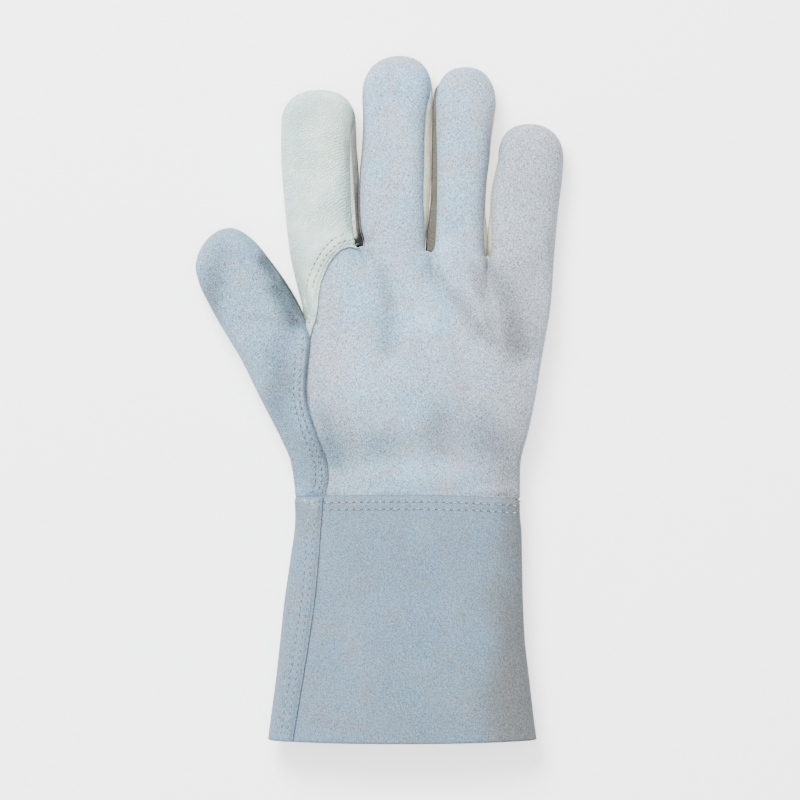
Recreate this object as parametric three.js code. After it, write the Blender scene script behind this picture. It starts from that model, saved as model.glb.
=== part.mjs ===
// Leather work glove, right hand, lying palm down with the back of the hand up.
// Millimetres, +Z up, fingers toward +Y, thumb toward -X, leather resting on the plane z = 0.
import * as THREE from 'three';

// Driving dimensions
const LEATHER = 1.8;
const GAP = 0.3;
const LIFT = LEATHER + GAP + 0.35;
const SECTION_POWER = 2.6;
const TIP_POWER = 2.3;
const SEAM_EDGE = 0.95;
const UNDERSIDE_FULLNESS = 1.15;
const WRIST_END = -54;
const CUFF_END = -159.69;
const LAP_DEPTH = 8;
const VALLEY_LENGTH = 36;
const THUMB_VALLEY_LENGTH = 32;

// Silhouette of the hand without its thumb: middle is the height of its widest level,
// crown the height of the back above that level.
const HAND = [
  { y: -54.0, left: -39.7, right: 65.9, middle: 13.7, crown: 14.5 },
  { y: -46.0, left: -39.8, right: 65.9, middle: 13.5, crown: 15.0 },
  { y: -40.4, left: -39.9, right: 65.9, middle: 13.3, crown: 15.6 },
  { y: -28.7, left: -41.0, right: 66.4, middle: 13.0, crown: 16.5 },
  { y: -14.6, left: -43.0, right: 70.1, middle: 12.8, crown: 18.6 },
  { y: -0.5, left: -44.0, right: 73.0, middle: 12.6, crown: 19.8 },
  { y: 13.6, left: -43.0, right: 75.3, middle: 12.5, crown: 19.8 },
  { y: 27.7, left: -40.0, right: 77.7, middle: 12.3, crown: 18.4 },
  { y: 39.5, left: -37.0, right: 79.8, middle: 12.1, crown: 16.6 },
  { y: 51.2, left: -38.4, right: 81.0, middle: 11.9, crown: 14.8 },
  { y: 65.3, left: -41.7, right: 81.9, middle: 11.7, crown: 13.2 },
  { y: 75.0, left: -43.1, right: 82.6, middle: 11.6, crown: 12.4 },
];

// Finger outlines: left and right are the silhouette, slantLeft and slantRight how far
// inside it the edge of the top leather lies, crown the height above the middle level.
const FINGERS = [
  {
    name: 'index', tipStart: 128.8, tipEnd: 145.3, tipX: -28.3, middle: 11.5,
    rows: [
      { y: 35.5, left: -35.2, right: -9.8, slantLeft: 0.8, slantRight: 0.6, crown: 12.6 },
      { y: 44.2, left: -36.6, right: -9.8, slantLeft: 0.8, slantRight: 0.6, crown: 12.6 },
      { y: 51.2, left: -38.4, right: -9.8, slantLeft: 0.8, slantRight: 0.6, crown: 12.6 },
      { y: 65.3, left: -41.7, right: -11.0, slantLeft: 0.8, slantRight: 0.6, crown: 12.6 },
      { y: 74.7, left: -43.1, right: -11.6, slantLeft: 0.8, slantRight: 0.6, crown: 12.6 },
      { y: 84.0, left: -44.1, right: -11.2, slantLeft: 0.8, slantRight: 1.9, crown: 12.4 },
      { y: 93.5, left: -45.0, right: -10.8, slantLeft: 0.8, slantRight: 2.9, crown: 12.2 },
      { y: 109.0, left: -46.2, right: -10.7, slantLeft: 0.8, slantRight: 3.3, crown: 12.0 },
      { y: 117.0, left: -46.5, right: -10.8, slantLeft: 0.8, slantRight: 3.2, crown: 12.0 },
      { y: 128.8, left: -46.4, right: -11.3, slantLeft: 0.8, slantRight: 2.4, crown: 11.6 },
    ],
  },
  {
    name: 'middle', tipStart: 142.0, tipEnd: 161.2, tipX: 9.2, middle: 11.6,
    rows: [
      { y: 70.8, left: -8.0, right: 21.2, slantLeft: 0.7, slantRight: 0.5, crown: 12.6 },
      { y: 73.3, left: -7.6, right: 21.4, slantLeft: 0.7, slantRight: 0.6, crown: 12.6 },
      { y: 80.8, left: -9.3, right: 22.3, slantLeft: 0.7, slantRight: 1.3, crown: 12.5 },
      { y: 93.5, left: -9.9, right: 23.4, slantLeft: 0.7, slantRight: 3.0, crown: 12.3 },
      { y: 107.6, left: -9.4, right: 24.1, slantLeft: 0.7, slantRight: 3.4, crown: 12.1 },
      { y: 114.7, left: -8.7, right: 24.1, slantLeft: 0.7, slantRight: 3.3, crown: 12.1 },
      { y: 126.4, left: -8.0, right: 24.2, slantLeft: 0.7, slantRight: 3.1, crown: 12.0 },
      { y: 135.4, left: -8.0, right: 24.6, slantLeft: 0.7, slantRight: 2.8, crown: 11.8 },
      { y: 142.0, left: -8.3, right: 24.9, slantLeft: 0.7, slantRight: 2.2, crown: 11.6 },
    ],
  },
  {
    name: 'ring', tipStart: 137.5, tipEnd: 156.0, tipX: 40.2, middle: 11.5,
    rows: [
      { y: 68.6, left: 25.2, right: 49.6, slantLeft: 0.7, slantRight: 0.7, crown: 12.5 },
      { y: 74.7, left: 25.5, right: 49.6, slantLeft: 0.7, slantRight: 0.7, crown: 12.4 },
      { y: 86.9, left: 26.0, right: 49.5, slantLeft: 0.7, slantRight: 0.7, crown: 12.1 },
      { y: 102.9, left: 26.3, right: 50.4, slantLeft: 0.7, slantRight: 0.7, crown: 11.8 },
      { y: 112.3, left: 26.2, right: 51.6, slantLeft: 0.7, slantRight: 0.7, crown: 11.7 },
      { y: 121.7, left: 26.0, right: 52.4, slantLeft: 0.7, slantRight: 0.7, crown: 11.6 },
      { y: 130.4, left: 25.8, right: 53.7, slantLeft: 0.7, slantRight: 0.7, crown: 11.5 },
      { y: 137.5, left: 25.9, right: 54.7, slantLeft: 0.7, slantRight: 0.7, crown: 11.3 },
    ],
  },
  {
    name: 'little', tipStart: 112.5, tipEnd: 129.2, tipX: 70.2, middle: 11.4,
    rows: [
      { y: 65.3, left: 51.9, right: 81.9, slantLeft: 0.7, slantRight: 0.8, crown: 12.0 },
      { y: 74.7, left: 51.8, right: 82.7, slantLeft: 0.7, slantRight: 0.8, crown: 11.8 },
      { y: 88.8, left: 51.8, right: 84.0, slantLeft: 0.7, slantRight: 0.8, crown: 11.4 },
      { y: 98.2, left: 52.4, right: 85.2, slantLeft: 0.7, slantRight: 0.8, crown: 11.1 },
      { y: 105.5, left: 53.9, right: 86.0, slantLeft: 0.7, slantRight: 0.8, crown: 11.0 },
      { y: 112.5, left: 55.6, right: 86.4, slantLeft: 0.7, slantRight: 0.8, crown: 10.8 },
    ],
  },
];

// Crotches between neighbouring fingers: x and y of the lowest point, radius of the opening,
// and the line in which the hollow between the fingers runs down the back of the hand.
const CROTCHES = [
  {
    x: -9.6, y: 70.8, radius: 2.1, line: [
      { y: -54, x: -2 }, { y: 0, x: 0 }, { y: 23, x: 1.5 }, { y: 46.5, x: 1.0 },
      { y: 58, x: -3.5 }, { y: 70.8, x: -9.6 },
    ],
  },
  {
    x: 23.2, y: 68.6, radius: 2.0, line: [
      { y: -54, x: 20 }, { y: 0, x: 24 }, { y: 40, x: 26 }, { y: 55, x: 25.3 }, { y: 68.6, x: 23.2 },
    ],
  },
  {
    x: 50.75, y: 66.3, radius: 1.15, line: [
      { y: -54, x: 42 }, { y: 0, x: 46.5 }, { y: 50, x: 50 }, { y: 66.3, x: 50.75 },
    ],
  },
];
const THUMB_CROTCH_Y = 35.5;

// Thumb rows from the wrist to the start of its tip: outer edge and inner edge of each row.
// The first eleven inner edges are the lap over the back panel.
const THUMB = [
  { outerX: -39.7, outerY: -54.0, innerX: -26.8, innerY: -54.0, middle: 13.7, crown: 12.0 },
  { outerX: -39.8, outerY: -46.0, innerX: -25.6, innerY: -44.8, middle: 13.5, crown: 12.4 },
  { outerX: -40.4, outerY: -38.6, innerX: -24.2, innerY: -37.4, middle: 13.2, crown: 12.8 },
  { outerX: -42.2, outerY: -28.4, innerX: -25.0, innerY: -28.2, middle: 13.0, crown: 13.2 },
  { outerX: -45.8, outerY: -20.0, innerX: -28.2, innerY: -19.6, middle: 12.9, crown: 13.6 },
  { outerX: -50.0, outerY: -11.5, innerX: -31.9, innerY: -9.4, middle: 12.8, crown: 14.0 },
  { outerX: -54.2, outerY: -3.5, innerX: -34.2, innerY: 0.6, middle: 12.7, crown: 14.3 },
  { outerX: -58.1, outerY: 4.2, innerX: -34.2, innerY: 10.0, middle: 12.6, crown: 14.5 },
  { outerX: -62.2, outerY: 12.8, innerX: -33.4, innerY: 19.0, middle: 12.5, crown: 14.6 },
  { outerX: -65.9, outerY: 19.9, innerX: -32.7, innerY: 27.4, middle: 12.4, crown: 14.5 },
  { outerX: -69.0, outerY: 25.0, innerX: -34.3, innerY: 34.2, middle: 12.3, crown: 14.2 },
  { outerX: -72.0, outerY: 30.0, innerX: -36.8, innerY: 40.0, middle: 12.2, crown: 13.8 },
  { outerX: -76.6, outerY: 37.6, innerX: -39.0, innerY: 47.6, middle: 12.1, crown: 13.2 },
  { outerX: -81.0, outerY: 45.8, innerX: -43.2, innerY: 55.2, middle: 12.0, crown: 12.5 },
  { outerX: -84.4, outerY: 52.8, innerX: -47.6, innerY: 61.6, middle: 11.9, crown: 12.0 },
  { outerX: -86.4, outerY: 59.5, innerX: -51.6, innerY: 67.0, middle: 11.8, crown: 11.5 },
];
const THUMB_ATTACHED = 10;
const THUMB_TIP_LENGTH = 17;
const THUMB_TIP_POWER = 1.95;

// Edge of the index leather where it laps over the back panel, from the thumb crotch
// to the crotch of index and middle finger, with the depth of leather hidden beneath it.
const INDEX_LAP = [
  { x: -34.0, y: 35.9, depth: 0.8 },
  { x: -31.0, y: 36.0, depth: 0.4 },
  { x: -29.4, y: 40.8, depth: 0.4 },
  { x: -28.9, y: 48.6, depth: 1.8 },
  { x: -27.6, y: 55.2, depth: 6.0 },
  { x: -24.0, y: 63.0, depth: 8.0 },
  { x: -19.4, y: 69.0, depth: 6.0 },
  { x: -14.8, y: 71.3, depth: 2.9 },
  { x: -9.6, y: 70.8, depth: 1.6 },
];

// Cuff outline at the raised outer surface.
const CUFF = [
  { y: -159.69, left: -52.5, right: 73.7, middle: 14.4, crown: 15.4, seam: -40.8 },
  { y: -150.9, left: -51.4, right: 72.5, middle: 14.4, crown: 15.4, seam: -39.4 },
  { y: -132.1, left: -48.9, right: 70.3, middle: 14.3, crown: 15.3, seam: -36.3 },
  { y: -113.3, left: -46.8, right: 68.2, middle: 14.2, crown: 15.1, seam: -33.3 },
  { y: -94.5, left: -44.8, right: 67.3, middle: 14.1, crown: 14.9, seam: -30.6 },
  { y: -75.7, left: -42.1, right: 66.9, middle: 14.0, crown: 14.7, seam: -28.8 },
  { y: -61.6, left: -40.1, right: 66.6, middle: 13.9, crown: 14.6, seam: -27.8 },
  { y: -54.0, left: -39.7, right: 65.9, middle: 13.7, crown: 14.5, seam: -27.2 },
  { y: -46.0, left: -39.8, right: 65.9, middle: 13.5, crown: 15.0, seam: -26.6 },
];

// Soft folds and dents of the back: depth below the smooth form, negative for a ridge.
const FOLDS = [
  { fromX: -6.9, fromY: 70, toX: 2.0, toY: 24, width: 8, depth: 1.2 },
  { fromX: 22.7, fromY: 67, toX: 43.0, toY: 12, width: 7, depth: 1.4 },
  { fromX: 36.0, fromY: 78, toX: 45.0, toY: 44, width: 6, depth: 1.0 },
  { fromX: -14.0, fromY: -14, toX: 8.0, toY: -30, width: 12, depth: 1.6 },
  { fromX: 45.0, fromY: 0, toX: 62.0, toY: -38, width: 11, depth: 1.8 },
  { fromX: 57.0, fromY: 32, toX: 66.0, toY: 18, width: 8, depth: 1.2 },
  { fromX: -62.0, fromY: 36, toX: -40.0, toY: 33, width: 6, depth: 1.2 },
  { fromX: 10.0, fromY: -38, toX: 34.0, toY: -42, width: 7, depth: -0.8 },
];

const clamp = (v, lo, hi) => Math.min(hi, Math.max(lo, v));
const lerp = (a, b, t) => a + (b - a) * t;
const smooth = (t) => {
  const c = clamp(t, 0, 1);
  return c * c * (3 - 2 * c);
};

// Value of a named column at a position along a table, by a smooth cubic through its rows.
function sample(table, at, column, along = 'y') {
  const last = table.length - 1;
  if (at <= table[0][along]) return table[0][column];
  if (at >= table[last][along]) return table[last][column];
  let i = 0;
  while (at > table[i + 1][along]) i += 1;
  const slope = (k) => {
    const a = table[Math.max(0, k - 1)];
    const b = table[Math.min(last, k + 1)];
    return (b[column] - a[column]) / (b[along] - a[along]);
  };
  const h = table[i + 1][along] - table[i][along];
  const t = (at - table[i][along]) / h;
  const t2 = t * t;
  const t3 = t2 * t;
  return (2 * t3 - 3 * t2 + 1) * table[i][column] + (t3 - 2 * t2 + t) * h * slope(i)
    + (3 * t2 - 2 * t3) * table[i + 1][column] + (t3 - t2) * h * slope(i + 1);
}

const SEAM_HEIGHT = (1 - SEAM_EDGE ** SECTION_POWER) ** (1 / SECTION_POWER);

// Height of a rounded section at q between its two seams, as a share of the crown.
// closing is 1 along the finger and 0 where top and palm leather meet at the tip.
function roundness(q, closing = 1) {
  const level = SEAM_HEIGHT * closing;
  const edge = (1 - level ** SECTION_POWER) ** (1 / SECTION_POWER);
  return (1 - Math.abs(edge * q) ** SECTION_POWER) ** (1 / SECTION_POWER);
}

function foldDepth(x, y) {
  let total = 0;
  for (const f of FOLDS) {
    const dx = f.toX - f.fromX;
    const dy = f.toY - f.fromY;
    const t = clamp(((x - f.fromX) * dx + (y - f.fromY) * dy) / (dx * dx + dy * dy), 0, 1);
    const off = Math.hypot(x - f.fromX - t * dx, y - f.fromY - t * dy);
    total += f.depth * Math.exp(-((off / f.width) ** 2));
  }
  return total;
}

// How far a finger has rounded off toward its tip: 1 before the tip, 0 at its end.
function tipScale(finger, y) {
  const t = clamp((y - finger.tipStart) / (finger.tipEnd - finger.tipStart), 0, 1);
  return (1 - t ** TIP_POWER) ** (1 / TIP_POWER);
}

function seamClosing(finger, y) {
  const t = (y - (finger.tipStart - 8)) / (8 + 0.7 * (finger.tipEnd - finger.tipStart));
  return 1 - smooth(t);
}

// Side wall of a finger. side is -1 left and 1 right; level runs from 1 at the top seam
// through 0 at the widest level to -1 at the palm seam.
function wallX(index, side, y, level) {
  const finger = FINGERS[index];
  const yRow = Math.min(y, finger.tipStart);
  const column = side < 0 ? 'left' : 'right';
  let x = sample(finger.rows, yRow, column);
  if (side > 0 && index === 3) x = y < 65.3 ? sample(HAND, y, 'right') : x;
  const crotch = side < 0 ? CROTCHES[index - 1] : CROTCHES[index];
  let fullness = 1;
  if (crotch) {
    const rise = Math.max(0, y - crotch.y);
    if (rise < crotch.radius) {
      const half = Math.sqrt(crotch.radius ** 2 - (crotch.radius - rise) ** 2) / crotch.radius;
      const open = sample(finger.rows, crotch.y + crotch.radius, column);
      x = lerp(crotch.x, open, half);
    }
    fullness = smooth(rise / 5);
  }
  const slant = sample(finger.rows, yRow, side < 0 ? 'slantLeft' : 'slantRight');
  const inset = (level > 0 ? slant : 0.7) * Math.abs(level) ** 2 * fullness * seamClosing(finger, y);
  x -= side * inset;
  const scale = tipScale(finger, y);
  const t = clamp((y - finger.tipStart) / (finger.tipEnd - finger.tipStart), 0, 1);
  const axis = (sample(finger.rows, yRow, 'left') + sample(finger.rows, yRow, 'right')) / 2;
  const drift = (finger.tipX - axis) * t * t;
  return t > 0 ? axis + drift + (x - axis) * scale : x;
}

// Inner edge of the thumb rows as a line across the hand, and the two edges of a strip.
const LAP_LINE = THUMB.slice(0, THUMB_ATTACHED + 1).map((r) => ({ y: r.innerY, x: r.innerX }));

function stripEdge(boundary, strip, y, level) {
  if (boundary === 0) return y < THUMB_CROTCH_Y ? sample(LAP_LINE, y, 'x') : wallX(0, -1, y, level);
  if (boundary === 4) return wallX(3, 1, y, level);
  const crotch = CROTCHES[boundary - 1];
  if (y <= crotch.y) return sample(crotch.line, y, 'x');
  return wallX(strip, strip === boundary ? -1 : 1, y, level);
}

function valley(boundary, y) {
  if (boundary === 0) return smooth((y - (THUMB_CROTCH_Y - THUMB_VALLEY_LENGTH)) / THUMB_VALLEY_LENGTH);
  const end = boundary === 4 ? 65.3 : CROTCHES[boundary - 1].y;
  return smooth((y - (end - VALLEY_LENGTH)) / VALLEY_LENGTH);
}

// Share of the hand's arch at a point, 1 on its centre line.
function handArch(x, y) {
  const left = sample(HAND, y, 'left') + 0.8;
  const right = sample(HAND, y, 'right') - 0.8;
  return roundness(clamp((2 * x - left - right) / (right - left), -1, 1));
}

function acrossStrip(strip, x, y, level) {
  const left = stripEdge(strip, strip, y, level);
  const right = stripEdge(strip + 1, strip, y, level);
  return right - left < 1e-6 ? 0 : clamp((2 * x - left - right) / (right - left), -1, 1);
}

// Height of the back surface over one of the four finger strips.
function topHeight(strip, x, y) {
  const finger = FINGERS[strip];
  const q = acrossStrip(strip, x, y, 1);
  const scale = tipScale(finger, y);
  const closing = seamClosing(finger, y);
  const crown = sample(finger.rows, Math.min(y, finger.tipStart), 'crown') * scale;
  const rounded = finger.middle + crown * roundness(q, closing);
  const arch = sample(HAND, y, 'middle') + sample(HAND, y, 'crown') * handArch(x, y);
  const share = lerp(valley(strip, y), valley(strip + 1, y), (q + 1) / 2);
  const dent = foldDepth(x, y) * (1 - Math.abs(q) ** 4 * share) * scale;
  return lerp(arch, rounded, share) + GAP / 2 - dent;
}

// Height of the palm surface, flattened where it rests.
function palmRaw(strip, x, y) {
  const finger = FINGERS[strip];
  const q = acrossStrip(strip, x, y, -1);
  const scale = tipScale(finger, y);
  const closing = seamClosing(finger, y);
  const rounded = finger.middle
    - finger.middle * UNDERSIDE_FULLNESS * scale * roundness(q, closing);
  const middle = sample(HAND, y, 'middle');
  const arch = middle - middle * UNDERSIDE_FULLNESS * handArch(x, y);
  const share = lerp(valley(strip, y), valley(strip + 1, y), (q + 1) / 2);
  return lerp(arch, rounded, share) - GAP / 2;
}

function palmHeight(strip, x, y) {
  return Math.max(0, palmRaw(strip, x, y));
}

// The hand leather is pressed inward where the cuff is lapped round it.
function pressed(x, y, z) {
  const depth = (LIFT + 0.2) * smooth((-35.8 - y) / 8);
  if (depth === 0) return [x, y, z];
  const left = sample(HAND, y, 'left');
  const right = sample(HAND, y, 'right');
  const half = (right - left) / 2;
  const middle = sample(HAND, y, 'middle');
  const tall = z > middle ? sample(HAND, y, 'crown') : middle * UNDERSIDE_FULLNESS;
  const across = (x - (left + right) / 2) / half;
  const up = (z - middle) / tall;
  const nx = (Math.sign(across) * Math.abs(across) ** (SECTION_POWER - 1)) / half;
  const nz = (Math.sign(up) * Math.abs(up) ** (SECTION_POWER - 1)) / tall;
  const size = Math.hypot(nx, nz);
  return [x - (depth * nx) / size, y, z - (depth * nz) / size];
}

// Thumb: a row position v runs from 0 at the wrist to 15 at the start of the tip,
// and on to 16 at its end. across is 0 at the outer and 1 at the inner edge.
const THUMB_ROWS = THUMB.map((r, v) => ({ v, ...r }));

function thumbRow(v) {
  const at = Math.min(v, THUMB.length - 1);
  const row = {};
  for (const column of ['outerX', 'outerY', 'innerX', 'innerY', 'middle', 'crown']) {
    row[column] = sample(THUMB_ROWS, at, column, 'v');
  }
  const t = clamp(v - (THUMB.length - 1), 0, 1);
  row.scale = (1 - t ** THUMB_TIP_POWER) ** (1 / THUMB_TIP_POWER);
  row.closing = 1 - smooth((v - 14.4) / 1.3);
  row.free = smooth((v - THUMB_ATTACHED) / 1.5);
  if (t > 0) {
    const cx = (row.outerX + row.innerX) / 2;
    const cy = (row.outerY + row.innerY) / 2;
    const dx = row.innerX - row.outerX;
    const dy = row.innerY - row.outerY;
    const width = Math.hypot(dx, dy);
    const ax = -dy / width;
    const ay = dx / width;
    const reach = THUMB_TIP_LENGTH * t;
    row.outerX = cx + ax * reach - (dx / 2) * row.scale;
    row.outerY = cy + ay * reach - (dy / 2) * row.scale;
    row.innerX = cx + ax * reach + (dx / 2) * row.scale;
    row.innerY = cy + ay * reach + (dy / 2) * row.scale;
  }
  return row;
}

// Plan point at the edge or inside a thumb row; inset pulls the edges of the top leather in.
function thumbPlan(row, across, insetOuter = 0.8, insetInner = 0.8) {
  const width = Math.hypot(row.innerX - row.outerX, row.innerY - row.outerY);
  const from = width > 1e-6 ? (insetOuter * row.closing) / width : 0;
  const to = width > 1e-6 ? 1 - (insetInner * row.closing * row.free) / width : 1;
  const share = lerp(from, to, across);
  return [lerp(row.outerX, row.innerX, share), lerp(row.outerY, row.innerY, share)];
}

function thumbTop(v, across) {
  const row = thumbRow(v);
  const [x, y] = thumbPlan(row, across);
  const q = across * 2 - 1;
  const tube = row.middle + row.crown * row.scale * roundness(q, row.closing);
  const side = row.middle + row.crown * row.scale * SEAM_HEIGHT * row.closing;
  const lapY = Math.min(row.innerY, THUMB_CROTCH_Y);
  const handSide = topHeight(0, row.innerX, lapY) - GAP / 2 + foldDepth(row.innerX, lapY);
  const arch = sample(HAND, y, 'middle') + sample(HAND, y, 'crown') * handArch(x, y);
  const joined = tube + (handSide - side) * (1 - row.free) * smooth(across);
  const share = smooth((v - 1.5) / 5);
  const dent = foldDepth(x, y) * row.scale * (1 - Math.abs(q) ** 4 * row.free);
  return lerp(arch, joined, share) + GAP / 2 - dent;
}

function thumbPalm(v, across) {
  const row = thumbRow(v);
  const [x, y] = thumbPlan(row, across);
  const q = across * 2 - 1;
  const deep = row.middle * UNDERSIDE_FULLNESS * row.scale;
  const tube = row.middle - deep * roundness(q, row.closing);
  const side = row.middle - deep * SEAM_HEIGHT * row.closing;
  const handSide = palmRaw(0, row.innerX, Math.min(row.innerY, THUMB_CROTCH_Y)) + GAP / 2;
  const middle = sample(HAND, y, 'middle');
  const arch = middle - middle * UNDERSIDE_FULLNESS * handArch(x, y);
  const joined = tube + (handSide - side) * (1 - row.free) * smooth(across);
  const share = smooth((v - 1.5) / 5);
  return Math.max(0, lerp(arch, joined, share) - GAP / 2);
}

// A leather sheet: its outer surface is gathered from grids, and solid() gives it thickness.
class Sheet {
  constructor() {
    this.points = [];
    this.seams = [];
    this.lifts = [];
    this.swells = [];
    this.index = new Map();
    this.faces = [];
  }

  point({ p, seam, lift, swell }) {
    const key = p.map((c) => Math.round(c * 2000)).join(',');
    if (!this.index.has(key)) {
      this.index.set(key, this.points.length);
      this.points.push(p);
      this.seams.push(false);
      this.lifts.push(lift);
      this.swells.push(swell);
    }
    const id = this.index.get(key);
    this.seams[id] = this.seams[id] || seam;
    return id;
  }

  face(a, b, c) {
    if (a !== b && b !== c && c !== a) this.faces.push([a, b, c]);
  }

  // The outer side of a grid faces columns crossed with rows.
  grid(rows) {
    const ids = rows.map((row) => row.map((each) => this.point(each)));
    for (let i = 0; i + 1 < ids.length; i += 1) {
      for (let j = 0; j + 1 < ids[i].length; j += 1) {
        const a = ids[i][j];
        const b = ids[i][j + 1];
        const c = ids[i + 1][j + 1];
        const d = ids[i + 1][j];
        const ac = this.distance(a, c);
        const bd = this.distance(b, d);
        if (ac <= bd) {
          this.face(a, b, c);
          this.face(a, c, d);
        } else {
          this.face(a, b, d);
          this.face(b, c, d);
        }
      }
    }
  }

  distance(a, b) {
    const p = this.points[a];
    const q = this.points[b];
    return Math.hypot(p[0] - q[0], p[1] - q[1], p[2] - q[2]);
  }

  normalsOf(vertices) {
    const normals = vertices.map(() => new THREE.Vector3());
    const touching = vertices.map(() => []);
    for (const face of this.faces) {
      const flat = new THREE.Triangle(...face.map((id) => vertices[id]));
      const faceNormal = flat.getNormal(new THREE.Vector3());
      face.forEach((id, k) => {
        const u = vertices[face[(k + 1) % 3]].clone().sub(vertices[id]);
        const w = vertices[face[(k + 2) % 3]].clone().sub(vertices[id]);
        normals[id].addScaledVector(faceNormal, u.angleTo(w));
        touching[id].push(faceNormal);
      });
    }
    normals.forEach((n) => n.normalize());
    return { normals, touching };
  }

  // Inner surface one leather thickness below the outer one, joined to it along every edge.
  // A lift raises a lapped edge straight up, so far that it clears the leather under it.
  // At a seam the leather is offset level, so that the two leathers meet face to face.
  solid(thickness) {
    const count = this.points.length;
    const vertices = this.points.map((p) => new THREE.Vector3(...p));
    const base = this.normalsOf(vertices).normals;
    vertices.forEach((vertex, id) => {
      vertex.z += this.lifts[id] / Math.max(0.5, base[id].z);
      vertex.addScaledVector(base[id], this.swells[id]);
    });
    const { normals, touching } = this.normalsOf(vertices);
    const edges = new Map();
    for (const [a, b, c] of this.faces) {
      for (const [from, to] of [[a, b], [b, c], [c, a]]) edges.set(`${from},${to}`, [from, to]);
    }
    const rim = [...edges.values()].filter(([from, to]) => !edges.has(`${to},${from}`));
    const sideways = vertices.map(() => []);
    for (const [from, to] of rim) {
      if (this.seams[from] && this.seams[to]) {
        const along = vertices[to].clone().sub(vertices[from]);
        const level = new THREE.Vector3(along.y, -along.x, 0);
        if (level.length() > 1e-6) {
          level.normalize();
          sideways[from].push(level);
          sideways[to].push(level);
        }
      }
    }
    const inner = vertices.map((vertex, id) => {
      const normal = normals[id];
      let direction = normal.clone();
      let reach = thickness;
      if (this.seams[id] && sideways[id].length > 0) {
        direction = new THREE.Vector3();
        for (const level of sideways[id]) {
          direction.addScaledVector(level, Math.sign(level.dot(normal)) || 1);
        }
        direction.normalize();
        const lean = Math.min(...sideways[id].map((level) => Math.abs(level.dot(direction))));
        reach = thickness / Math.max(lean, 0.75);
      } else {
        const lean = Math.min(...touching[id].map((n) => n.dot(normal)));
        reach = thickness / clamp(lean, 0.85, 1);
      }
      return vertex.clone().addScaledVector(direction, -reach);
    });
    const positions = [...vertices, ...inner].flatMap((vertex) => vertex.toArray());
    const triangles = [];
    for (const [a, b, c] of this.faces) {
      triangles.push(a, b, c);
      triangles.push(a + count, c + count, b + count);
    }
    for (const [from, to] of rim) {
      triangles.push(from, from + count, to + count);
      triangles.push(from, to + count, to);
    }
    const geometry = new THREE.BufferGeometry();
    geometry.setAttribute('position', new THREE.Float32BufferAttribute(positions, 3));
    geometry.setIndex(triangles);
    geometry.computeVertexNormals();
    return geometry;
  }
}

const cell = (x, y, z, seam = false, lift = 0, swell = 0) => (
  { p: pressed(x, y, z), seam, lift, swell }
);

// Evenly turned shares from 0 to 1, closer together at both ends.
function shares(count) {
  return Array.from({ length: count + 1 }, (_, i) => 0.5 - 0.5 * Math.cos((Math.PI * i) / count));
}

function evenShares(count) {
  return Array.from({ length: count + 1 }, (_, i) => i / count);
}

// Row heights of a finger from above its crotch to the end of its tip.
function tipRows(finger, turns = [22, 42, 60, 76, 90]) {
  return turns.map((turn) => {
    const t = Math.sin((turn * Math.PI) / 180) ** (2 / TIP_POWER);
    return lerp(finger.tipStart, finger.tipEnd, turn === 90 ? 1 : t);
  });
}

const FINGER_LEVELS = {
  0: [88, 98, 108, 118.5, 128.8],
  1: [88, 98, 108, 118.5, 130, 142],
  2: [88, 98, 108, 118.5, 128, 137.5],
  3: [81, 88, 96, 104.5, 112.5],
};

// Heights above a crotch at which the finger rows start, at the left and right edge.
function fingerRowEnds(strip) {
  const startOf = (boundary) => {
    if (boundary === 0) return 84;
    return boundary === 4 ? 65.3 : CROTCHES[boundary - 1].y;
  };
  const radiusOf = (boundary) => (boundary >= 1 && boundary <= 3 ? CROTCHES[boundary - 1].radius : 2);
  const left = startOf(strip);
  const right = startOf(strip + 1);
  const rows = [0, 0.3, 1].map((share) => [
    left + share * radiusOf(strip), right + share * radiusOf(strip + 1),
  ]);
  rows.push([left + 6, right + 6]);
  for (const y of FINGER_LEVELS[strip]) rows.push([y, y]);
  for (const y of tipRows(FINGERS[strip])) rows.push([y, y]);
  return rows;
}

function lowSeam(strip, x, y) {
  return palmHeight(strip, x, y);
}

// Cells down a side wall from just under the top edge to just above the palm seam.
function wallCells(strip, side, y, levels, options = {}) {
  const top = topHeight(strip, stripEdge(strip + (side > 0 ? 1 : 0), strip, y, 1), y);
  const low = lowSeam(strip, stripEdge(strip + (side > 0 ? 1 : 0), strip, y, -1), y);
  const finger = FINGERS[strip];
  const middle = y < 65.3 && side > 0 && strip === 3
    ? lerp(sample(HAND, y, 'middle'), finger.middle, valley(4, y)) : finger.middle;
  const upper = top - (options.topGap || 0);
  const lower = low + (options.lowGap || 0);
  return levels.map((level) => {
    const closed = upper <= lower + 0.25;
    const x = wallX(strip, side, y, closed ? 1 : level);
    let z = level > 0 ? lerp(middle, upper, level) : lerp(middle, lower, -level);
    if (closed) z = options.topGap ? (upper + lower) / 2 : upper;
    const seam = (level === 1 && Boolean(options.topGap)) || level === -1;
    const lift = (options.raise || 0) * Math.max(0, level) * 0.5;
    return cell(x, y, z, seam || closed, lift);
  });
}

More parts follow.
